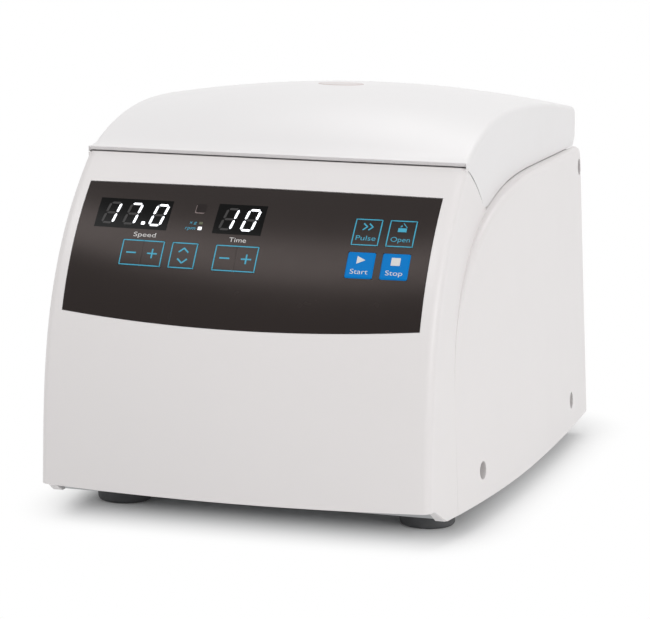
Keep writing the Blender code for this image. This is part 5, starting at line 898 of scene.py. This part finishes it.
def make_port():
    """The sight port: a slightly domed disc in a fine ring, which both follow the lid's crown."""
    disc = [(PORT_RADIUS * share, PORT_RISE * (1 - share ** 2) + PORT_STEP)
            for share in np.linspace(1.0, 0.0, PORT_RINGS)]
    port = on_crown("port_disc", disc, PORT_CLEAR)
    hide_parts("sight_port_window")
    rim, sunk = PORT_RADIUS + PORT_RING, -PORT_SINK
    on_crown("port_ring", [(rim, sunk), (rim, 0.10 * MM), (PORT_RADIUS + PORT_RING / 2, 0.20 * MM),
                           (PORT_RADIUS, PORT_STEP), (PORT_RADIUS, sunk)], PORT_SEAT)


# Panel

# Each key: place across, height, width, finish
KEYS = {
    "key_speed_minus": (-0.0637, KEY_ROW_Z, PAIR_KEY_WIDTH, KEY_FILM),
    "key_speed_plus": (-0.0517, KEY_ROW_Z, PAIR_KEY_WIDTH, KEY_FILM),
    "key_unit": (-0.0342, KEY_ROW_Z, KEY_WIDTH, KEY_FILM),
    "key_time_minus": (-0.0110, KEY_ROW_Z, PAIR_KEY_WIDTH, KEY_FILM),
    "key_time_plus": (0.0010, KEY_ROW_Z, PAIR_KEY_WIDTH, KEY_FILM),
    "key_pulse": (0.0625, UPPER_KEY_ROW_Z, KEY_WIDTH, KEY_FILM),
    "key_open": (0.0809, UPPER_KEY_ROW_Z, KEY_WIDTH, KEY_FILM),
    "key_start": (0.0625, KEY_ROW_Z, KEY_WIDTH, BLUE),
    "key_stop": (0.0809, KEY_ROW_Z, KEY_WIDTH, BLUE),
}
# Each key's word: how far it lies above the key's middle in half keys, its width and height
KEY_WORDS = {
    "key_pulse": ("Pulse", -0.42, 10.6 * MM, 3.1 * MM), "key_open": ("Open", -0.42, 10.2 * MM, 3.1 * MM),
    "key_start": ("Start", -0.48, 9.4 * MM, 2.9 * MM), "key_stop": ("Stop", -0.48, 9.0 * MM, 2.9 * MM),
}


def foreshortening(z):
    """How much height one unit along the sloping face gains."""
    slope = (front_y(0.0, z + MM) - front_y(0.0, z - MM)) / (2 * MM)
    return 1.0 / math.sqrt(1.0 + slope ** 2)


def on_face(flat, x, z, offset):
    """Lays flat points, across and up in metres, on the face about a place on it."""
    flat = np.asarray(flat, float)
    return face_point(x + flat[..., 0], z + flat[..., 1] * foreshortening(z), offset)


def make_overlay():
    """The film: a grid with lines along every key's edge, so that the keys' windows are open."""
    edges = {round(x + side * (width / 2 + KEY_GAP), 6)
             for x, _, width, _ in KEYS.values() for side in (-1, 1)}
    edges = [-PANEL_HALF_WIDTH, *sorted(edges), PANEL_HALF_WIDTH]
    x = np.unique(np.concatenate([np.linspace(a, b, max(2, int((b - a) / FILM_CELL) + 2))
                                  for a, b in zip(edges, edges[1:])]))
    reach = KEY_HALF_HEIGHT + KEY_GAP
    lines = [middle + side * reach for middle in (KEY_ROW_Z, UPPER_KEY_ROW_Z) for side in (-1, 1)]
    bands = [panel_low(x)] + [line + 0 * x for line in lines] + [panel_high(x)]
    z = [bands[0]]
    for below, above, count in zip(bands, bands[1:], FILM_ROWS):
        z += [below + (above - below) * mix for mix in np.linspace(0, 1, count)[1:]]
    z = np.stack(z)
    centre_x = (x[1:] + x[:-1]) / 2
    centre_z = (z[1:, :-1] + z[:-1, 1:]) / 2
    keep = np.ones(centre_z.shape, bool)
    for key_x, key_z, width, _ in KEYS.values():
        across = np.abs(centre_x - key_x) < width / 2 + KEY_GAP / 2
        keep &= ~(across & (np.abs(centre_z - key_z) < KEY_HALF_HEIGHT + KEY_GAP / 2))
    points = face_point(x, z, FILM_STEP)
    overlay = grid_piece("overlay_film", points, FILM, "housing", keep, PANEL_WALL)
    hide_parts("keypad_overlay")


def rounded_rectangle(half_width, half_height, radius):
    """A closed outline of a rectangle with rounded corners, as an array of points."""
    corners = []
    for quarter, (sx, sy) in enumerate(((1, 1), (-1, 1), (-1, -1), (1, -1))):
        angle = np.linspace(0.0, np.pi / 2, OUTLINE_CORNER_STEPS) + quarter * np.pi / 2
        corners.append(np.stack([sx * (half_width - radius) + radius * np.cos(angle),
                                 sy * (half_height - radius) + radius * np.sin(angle)], axis=1))
    outline = np.concatenate(corners)
    side = np.roll(outline, -1, axis=0) - outline
    parts = [outline[:, None] + side[:, None] * share for share in (0.0, 0.25, 0.5, 0.75)]
    return np.concatenate(parts, axis=1).reshape(-1, 2)


def key_height(name):
    """How far a key's top stands off the face."""
    return BLUE_KEY_HEIGHT if KEYS[name][3] is BLUE else FILM_KEY_HEIGHT


def key_pad(name):
    """A key: rings of a rounded outline that rise over a soft edge to a flat top."""
    x, z, width, material = KEYS[name]
    half_width, half_height = width / 2, KEY_HALF_HEIGHT / foreshortening(z)
    steps = [(inset, share * key_height(name)) for inset, share in KEY_ROUND_SHARES]
    rings = [on_face(rounded_rectangle(half_width + KEY_SPREAD - inset, half_height + KEY_SPREAD - inset,
                                       KEY_CORNER_RADIUS - inset), x, z, offset)
             for inset, offset in [(0.0, -KEY_SKIRT), (0.0, FILM_STEP)] + steps]
    inset, top = steps[-1]
    outline = rounded_rectangle(half_width - inset, half_height - inset, KEY_TOP_CORNER_RADIUS)
    rings += [on_face(outline * shrink, x, z, top) for shrink in (0.8, 0.6, 0.4, 0.2, 0.0)]
    pad = grid_piece(name + "_pad", np.stack(rings), material, name, close_columns=True, flip=True)
    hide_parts(name)


# Print. A spot is a place across, a height, an offset from the face, a finish and a body.

def stroke(name, points, width, spot, closed=False):
    """A printed line: a flat path widened to both sides and laid on the face."""
    x, z, offset, material, body = spot
    path = np.asarray(points, float)
    if closed:
        path = np.concatenate([path, path[:1]])
    shares = np.linspace(0, 1, 7)[:-1, None]
    fine = np.concatenate([a + (b - a) * shares for a, b in zip(path, path[1:])] + [path[-1:]])
    along = np.gradient(fine, axis=0)
    if closed:
        along[0] = along[-1] = fine[1] - fine[-2]
    along /= np.maximum(np.linalg.norm(along, axis=1, keepdims=True), 1e-12)
    normal = np.stack([-along[:, 1], along[:, 0]], axis=1)
    band = np.stack([fine - normal * width / 2, fine + normal * width / 2])
    grid_piece(name, on_face(band, x, z, offset), material, body, flip=True)


def filled(name, outline, spot):
    """A printed patch: an outline filled in rings towards its middle and laid on the face."""
    x, z, offset, material, body = spot
    outline = np.asarray(outline, float)
    middle = outline.mean(axis=0)
    rings = np.stack([middle + (outline - middle) * scale for scale in (1.0, 0.75, 0.5, 0.25, 0.0)])
    grid_piece(name, on_face(rings, x, z, offset), material, body, close_columns=True, flip=True)


def lettering(name, words, width, height, spot, slant=0.0):
    """Words as a mesh, scaled to a width and a capital's height, and laid on the face."""
    x, z, offset, material, body = spot
    curve = bpy.data.curves.new(name, "FONT")
    curve.body = words
    curve.size = 1.0
    curve.offset = LETTER_STOUTNESS
    text = link(name, curve)
    mesh = evaluated_mesh(text)
    bpy.data.objects.remove(text)
    flat = np.zeros(len(mesh.vertices) * 3)
    mesh.vertices.foreach_get("co", flat)
    flat = flat.reshape(-1, 3)[:, :2]
    low, high = flat.min(axis=0), flat.max(axis=0)
    flat[:, 0] = (flat[:, 0] - (low[0] + high[0]) / 2) * width / (high[0] - low[0])
    flat[:, 1] = (flat[:, 1] - LETTER_CAPITAL / 2) * height / LETTER_CAPITAL
    flat[:, 0] += slant * flat[:, 1]
    mesh.vertices.foreach_set("co", on_face(flat, x, z, offset).ravel())
    mesh.materials.clear()
    mesh.materials.append(material)
    piece = link(name, mesh)
    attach(piece, body)


# The middles of a digit's bars, in half digits across and up, and the bars each digit lights
SEGMENT_ENDS = {"a": ((-1, 1), (1, 1)), "b": ((1, 1), (1, 0)), "c": ((1, 0), (1, -1)),
                "d": ((-1, -1), (1, -1)), "e": ((-1, 0), (-1, -1)), "f": ((-1, 1), (-1, 0)),
                "g": ((-1, 0), (1, 0))}
LIT_SEGMENTS = {"0": "abcdef", "1": "bc", "7": "abc"}


def segment_outline(letter):
    """One bar of a seven-segment digit as a six-sided outline, slanted."""
    reach = np.array([DIGIT_WIDTH - SEGMENT_WIDTH, DIGIT_HEIGHT - SEGMENT_WIDTH]) / 2
    start, end = np.array(SEGMENT_ENDS[letter]) * reach
    along = (end - start) / np.linalg.norm(end - start)
    beside = np.array([-along[1], along[0]])
    half = SEGMENT_WIDTH / 2
    start, end = start + along * SEGMENT_END_GAP, end - along * SEGMENT_END_GAP
    outline = np.array([start, start + (along - beside) * half, end + (-along - beside) * half, end,
                        end + (-along + beside) * half, start + (along + beside) * half])
    outline[:, 0] += DIGIT_SLANT * outline[:, 1]
    return outline


def make_display(name, left, width, digits, point=None):
    """A dark window with slanted seven-segment digits, lit and unlit."""
    middle_z = (DISPLAY_TOP_Z + DISPLAY_BOTTOM_Z) / 2
    half_height = (DISPLAY_TOP_Z - DISPLAY_BOTTOM_Z) / 2 / foreshortening(middle_z)
    flat = np.stack(np.meshgrid(np.linspace(-width / 2, width / 2, WINDOW_COLUMNS),
                                np.linspace(-half_height, half_height, WINDOW_ROWS)), axis=2)
    window = on_face(flat, left + width / 2, middle_z, WINDOW_STEP)
    grid_piece(f"{name}_window", window, WINDOW, "housing")
    for place, digit in digits:
        for letter in "abcdefg":
            finish = LIT if letter in LIT_SEGMENTS[digit] else DIM_SEGMENT
            spot = (left + width * place, middle_z, SEGMENT_STEP, finish, "housing")
            filled(f"{name}_{int(place * 100)}_{letter}", segment_outline(letter), spot)
    if point:
        dot = rounded_rectangle(POINT_RADIUS, POINT_RADIUS, 0.5 * MM)
        dot[:, 1] += POINT_RISE - DIGIT_HEIGHT / 2
        filled(f"{name}_point", dot, (left + width * point, middle_z, SEGMENT_STEP, LIT, "housing"))


def key_spot(name, lift=0.0):
    """Where a key is printed: on its top, so many half keys above its middle."""
    x, z, _, material = KEYS[name]
    colour = PALE if material is BLUE else CYAN
    return x, z + lift * KEY_HALF_HEIGHT, key_height(name) + PRINT_STEP, colour, name


def key_frame(name):
    """Half the width and half the height of the line printed along a key's edge."""
    _, z, width, _ = KEYS[name]
    return width / 2 - LINE_INSET, KEY_HALF_HEIGHT / foreshortening(z) - LINE_INSET


def print_pair_key(name, side):
    """Half of a minus/plus pair: a line round its outer side, and its sign."""
    x, z, offset, colour, body = spot = key_spot(name)
    w, h = key_frame(name)
    inner, outer = -side * (w + LINE_INSET), side * w
    stroke(f"{name}_line", [(inner, h), (outer, h), (outer, -h), (inner, -h)], LINE_WIDTH, spot)
    stroke(f"{name}_bar", [(-SIGN_ARM, 0), (SIGN_ARM, 0)], SIGN_WIDTH, spot)
    if side > 0:
        above = (x, z, offset + SIGN_STEP, colour, body)
        stroke(f"{name}_upright", [(0, -SIGN_ARM), (0, SIGN_ARM)], SIGN_WIDTH, above)


def print_frame(name):
    """The closed line along a key's edge."""
    w, h = key_frame(name)
    corners = [(w, h), (-w, h), (-w, -h), (w, -h)]
    stroke(f"{name}_line", corners, LINE_WIDTH, key_spot(name), closed=True)


def print_word(name):
    """The word on a key."""
    word, lift, width, height = KEY_WORDS[name]
    lettering(f"{name}_word", word, width, height, key_spot(name, lift))


def make_keys():
    """The nine keys with their printed outlines, signs and words."""
    for name in KEYS:
        key_pad(name)
    for pair in ("speed", "time"):
        print_pair_key(f"key_{pair}_minus", -1)
        print_pair_key(f"key_{pair}_plus", 1)
    print_frame("key_unit")
    arm, base, tip = 2.7 * MM, 1.9 * MM, 4.4 * MM
    for way, turn in (("up", 1), ("down", -1)):
        arrow = [(-arm, turn * base), (0, turn * tip), (arm, turn * base)]
        stroke(f"key_unit_{way}", arrow, SIGN_WIDTH, key_spot("key_unit"))
    for name in ("key_pulse", "key_open"):
        print_frame(name)
        print_word(name)
    icon = key_spot("key_pulse", 0.42)
    for index, start in enumerate((-2.6, 0.4)):
        arrow = np.array([(start, 2.1), (start + 2.2, 0), (start, -2.1)]) * MM
        stroke(f"key_pulse_arrow_{index}", arrow, 0.75 * MM, icon)
    icon = key_spot("key_open", 0.42)
    filled("key_open_box", np.array([(-2.3, -2.4), (2.3, -2.4), (2.3, 0.1), (-2.3, 0.1)]) * MM, icon)
    stroke("key_open_flap", np.array([(2.3, 0.5), (0.1, 3.2)]) * MM, 0.4 * MM, icon)
    filled("key_open_arrow", np.array([(-1.6, 0.6), (-0.2, 1.0), (-0.6, 2.2)]) * MM, icon)
    for name in ("key_start", "key_stop"):
        print_word(name)
    triangle = np.array([(-2.1, -2.3), (2.4, 0.0), (-2.1, 2.3)]) * MM
    filled("key_start_sign", triangle, key_spot("key_start", 0.40))
    square = rounded_rectangle(2.4 * MM, 2.3 * MM, 0.3 * MM)
    filled("key_stop_sign", square, key_spot("key_stop", 0.38))


# Each word beside the displays: width, height, place across and up, ink, slant
PANEL_WORDS = {
    "word_speed": ("Speed", 12.6 * MM, 2.9 * MM, -0.0583, 0.1556, PALE, 0.0),
    "word_time": ("Time", 9.4 * MM, 2.9 * MM, -0.0060, 0.1556, PALE, 0.0),
    "word_force": ("x g", 3.9 * MM, 1.9 * MM, -0.0328, 0.1628, CYAN, 0.2),
    "word_rpm": ("rpm", 5.6 * MM, 2.2 * MM, -0.0337, 0.1601, CYAN, 0.2),
}
# Each lamp and window: half-width, half-height, corner, place across and up, offset, finish
PANEL_PATCHES = {
    "lamp_force": (1.0 * MM, 0.8 * MM, 0.2 * MM, -0.0286, 0.1625, 0.12 * MM, OLIVE),
    "lamp_rpm": (1.05 * MM, 1.0 * MM, 0.3 * MM, -0.0285, 0.1600, 0.12 * MM, LIT),
    # The lighter patch behind the sensor window peeks out at its lower left as a painted highlight of
    # the lit edge
    "sensor_edge_highlight": (2.7 * MM, 2.9 * MM, 0.9 * MM, -0.0309, 0.1691, 0.09 * MM, SENSOR_EDGE_HIGHLIGHT),
    "sensor_window": (2.7 * MM, 2.9 * MM, 0.9 * MM, -0.0306, 0.1695, 0.12 * MM, SENSOR),
}


def make_panel_print():
    """Words beside the displays, the unit lamps, the small sensor window and a lighter patch behind it,
    painted highlight of its lower left edge.
    """
    for name, (word, width, height, x, z, colour, slant) in PANEL_WORDS.items():
        lettering(name, word, width, height, (x, z, WORD_STEP, colour, "housing"), slant)
    for name, (half_width, half_height, corner, *spot) in PANEL_PATCHES.items():
        filled(name, rounded_rectangle(half_width, half_height, corner), (*spot, "housing"))


# Feet, chamber and rotor

def make_feet():
    """Rubber feet: a straight flank, a rounded tread edge and a shallow dished tread."""
    radius, height, edge, dish = 15.8 * MM, 14.0 * MM, 2.6 * MM, 0.6 * MM
    profile = [(0.0, height), (radius - 0.4 * MM, height), (radius, height - 0.4 * MM)]
    profile += rounded_corner((radius - 0.8 * MM - edge, edge), edge, 0, -90, 9)
    profile += [(radius - 6.0 * MM, 0.0), (radius - 7.0 * MM, dish), (0.0, dish)]
    for spot, y in (("front", -0.0926), ("rear", 0.1250)):
        for hand, x in (("left", -0.0869), ("right", 0.0869)):
            foot = lathe(f"foot_tread_{spot}_{hand}", profile[::-1], (x, y, 0.0), RUBBER, "housing", 72)
            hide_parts(f"foot_{spot}_{hand}")


def make_bowl():
    """The chamber: a spun steel bowl with a rolled flange and a raised hub."""
    outer, wall, corner, flange = 96.0 * MM, 2.0 * MM, 12.0 * MM, 3.5 * MM
    floor, rim = 92.0 * MM, 178.3 * MM
    hub, hub_rise, hole = 22.0 * MM, 6.0 * MM, 11.0 * MM
    hub_top, centre = floor + hub_rise, (outer - corner, floor + corner)
    outside = [(outer + flange, rim), (outer + flange, rim - wall), (outer, rim - wall)]
    outside += rounded_corner(centre, corner, 0, -90, 10)
    outside += [(hub, floor), (hub - hub_rise, hub_top), (hole, hub_top)]
    inside = [(hole, hub_top + wall), (hub - hub_rise + wall / 2, hub_top + wall),
              (hub + wall / 2, floor + wall)]
    inside += rounded_corner(centre, corner - wall, -90, 0, 10)
    inside += [(outer - wall, rim - 0.6 * MM), (outer - wall + 0.6 * MM, rim)]
    profile = outside + inside + outside[:1]
    bowl = lathe("spun_bowl", profile[::-1], (0.0, AXIS_Y, 0.0), BOWL_STEEL, "housing", 128)
    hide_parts("chamber_bowl")


def make_rotor_lid():
    """The rotor's clear lid, a shallow dome with a stepped rim."""
    radius, rim, dome, wall = 84.0 * MM, 142.3 * MM, 7.0 * MM, 2.5 * MM
    hole, knob, shoulder, step = 5.3 * MM, 23.0 * MM, 12.0 * MM, 1.0 * MM
    upper = [(hole, rim + dome + wall), (knob, rim + dome + wall)]
    upper += [(knob + (radius - knob - shoulder) * share,
               rim + wall + step + (dome - step) * math.cos(share * math.pi / 2))
              for share in np.linspace(0.1, 1.0, 12)]
    upper += [(radius - step, rim + wall), (radius, rim + wall - 0.8 * MM), (radius, rim)]
    lower = [(across, height - wall) for across, height in reversed(upper[:-3])]
    profile = upper + [(radius - 3.0 * MM, rim)] + lower + upper[:1]
    lid = lathe("rotor_cover", profile[::-1], (0.0, AXIS_Y, 0.0), SMOKE, "rotor", 128)
    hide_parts("rotor_lid")


# Room, light and camera

def seen_white(nodes):
    """1 for rays that should meet plain white: from the camera, off gloss and through glass."""
    camera, gloss, glass = (nodes.node("ShaderNodeLightPath", output=f"Is {kind} Ray")
                            for kind in ("Camera", "Glossy", "Transmission"))
    return camera.math("MAXIMUM", gloss).math("MAXIMUM", glass)


def make_stage():
    """A white floor. It shows the object's shadow near its foot, and plain white paper beyond."""
    mesh = bpy.data.meshes.new("floor")
    reach = FLOOR_REACH
    corners = [(-reach, -reach, 0), (reach, -reach, 0), (reach, reach, 0), (-reach, reach, 0)]
    mesh.from_pydata(corners, [], [(0, 1, 2, 3)])
    floor = link("floor", mesh)
    finish = Finish("floor_paper", (0.94, 0.94, 0.94), 0.9, specular_ior_level=0.0)
    finish.tint(finish.noise(3.0), 0.004)
    beyond, none = finish.place(), (0.0, 0.0, 0.0)
    for operation, other in (("SUBTRACT", (0.0, SHADOW_MIDDLE_Y, 0.0)), ("ABSOLUTE", none),
                             ("SUBTRACT", (SHADOW_HALF_WIDTH, SHADOW_HALF_LENGTH, 0.0)),
                             ("MAXIMUM", none), ("MULTIPLY", (SHADOW_SIDE_SHARE, 1.0, 0.0))):
        beyond = finish.node("ShaderNodeVectorMath", {"operation": operation}, {0: beyond, 1: other})
    away = finish.node("ShaderNodeVectorMath", {"operation": "LENGTH"}, {0: beyond}, 1)
    far = finish.node("ShaderNodeMapRange", {"interpolation_type": "SMOOTHSTEP"},
                      {"Value": away, "From Min": 0.0, "From Max": SHADOW_FADE})
    nodes, links = finish.tree.nodes, finish.tree.links
    glow, blend = nodes.new("ShaderNodeEmission"), nodes.new("ShaderNodeMixShader")
    links.new((seen_white(finish) * far).socket, blend.inputs[0])
    links.new(finish.shader.outputs[0], blend.inputs[1])
    links.new(glow.outputs[0], blend.inputs[2])
    links.new(blend.outputs[0], nodes["Material Output"].inputs["Surface"])
    mesh.materials.append(finish.material)


def make_world():
    """Even pale room light, seen as white by the camera, off gloss and through glass."""
    world = bpy.data.worlds.new("room")
    bpy.context.scene.world = world
    world.use_nodes = True
    room = Nodes(world.node_tree)
    back = room.tree.nodes["Background"]
    back.inputs["Color"].default_value = (1.0, 1.0, 1.0, 1.0)
    level = seen_white(room).math("MAXIMUM", ROOM_LIGHT)
    room.tree.links.new(level.socket, back.inputs["Strength"])


def make_lights():
    """Soft rectangular lamps, all aimed at the middle of the object."""
    for name, (place, length, width, power) in LAMPS.items():
        data = bpy.data.lights.new(name, "AREA")
        data.shape = "RECTANGLE"
        data.size, data.size_y = length, width
        data.energy = power
        light = link(name, data)
        light.location = place
        aim = Vector(CAMERA_TARGET) - Vector(place)
        light.rotation_euler = aim.to_track_quat("-Z", "Y").to_euler()


def make_camera():
    """The camera at the photograph's view, from its azimuth, elevation, roll and focal length."""
    azimuth, elevation, roll = CAMERA_AZIMUTH, CAMERA_ELEVATION, CAMERA_ROLL
    back = Vector((math.sin(azimuth) * math.cos(elevation),
                   -math.cos(azimuth) * math.cos(elevation), math.sin(elevation)))
    right = Vector((math.cos(azimuth), math.sin(azimuth), 0.0))
    up = back.cross(right)
    across = right * math.cos(roll) + up * math.sin(roll)
    upward = up * math.cos(roll) - right * math.sin(roll)
    data = bpy.data.cameras.new("camera")
    data.sensor_fit = "HORIZONTAL"
    data.sensor_width = SENSOR_WIDTH_MM
    data.lens = FOCAL_PIXELS / FRAME_WIDTH * SENSOR_WIDTH_MM
    data.shift_x = (FRAME_WIDTH / 2 - CENTRE_COLUMN) / FRAME_WIDTH
    data.shift_y = (CENTRE_ROW - FRAME_HEIGHT / 2) / FRAME_WIDTH
    camera = link("camera", data)
    turn = Matrix((across, upward, back)).transposed().to_4x4()
    camera.matrix_world = Matrix.Translation(Vector(CAMERA_TARGET) + back * CAMERA_DISTANCE) @ turn
    bpy.context.scene.camera = camera


dress_solids()
make_front()
make_cheek("left", -1.0)
make_cheek("right", 1.0)
make_lid()
make_port()
make_overlay()
make_display("speed_display", -0.0886, 0.0416, ((0.196, "1"), (0.489, "7"), (0.850, "0")), 0.662)
make_display("time_display", -0.0212, 0.0270, ((0.280, "1"), (0.724, "0")))
make_keys()
make_panel_print()
make_feet()
make_bowl()
make_rotor_lid()
make_stage()
make_world()
make_lights()
make_camera()
bpy.context.scene.view_settings.view_transform = "Standard"
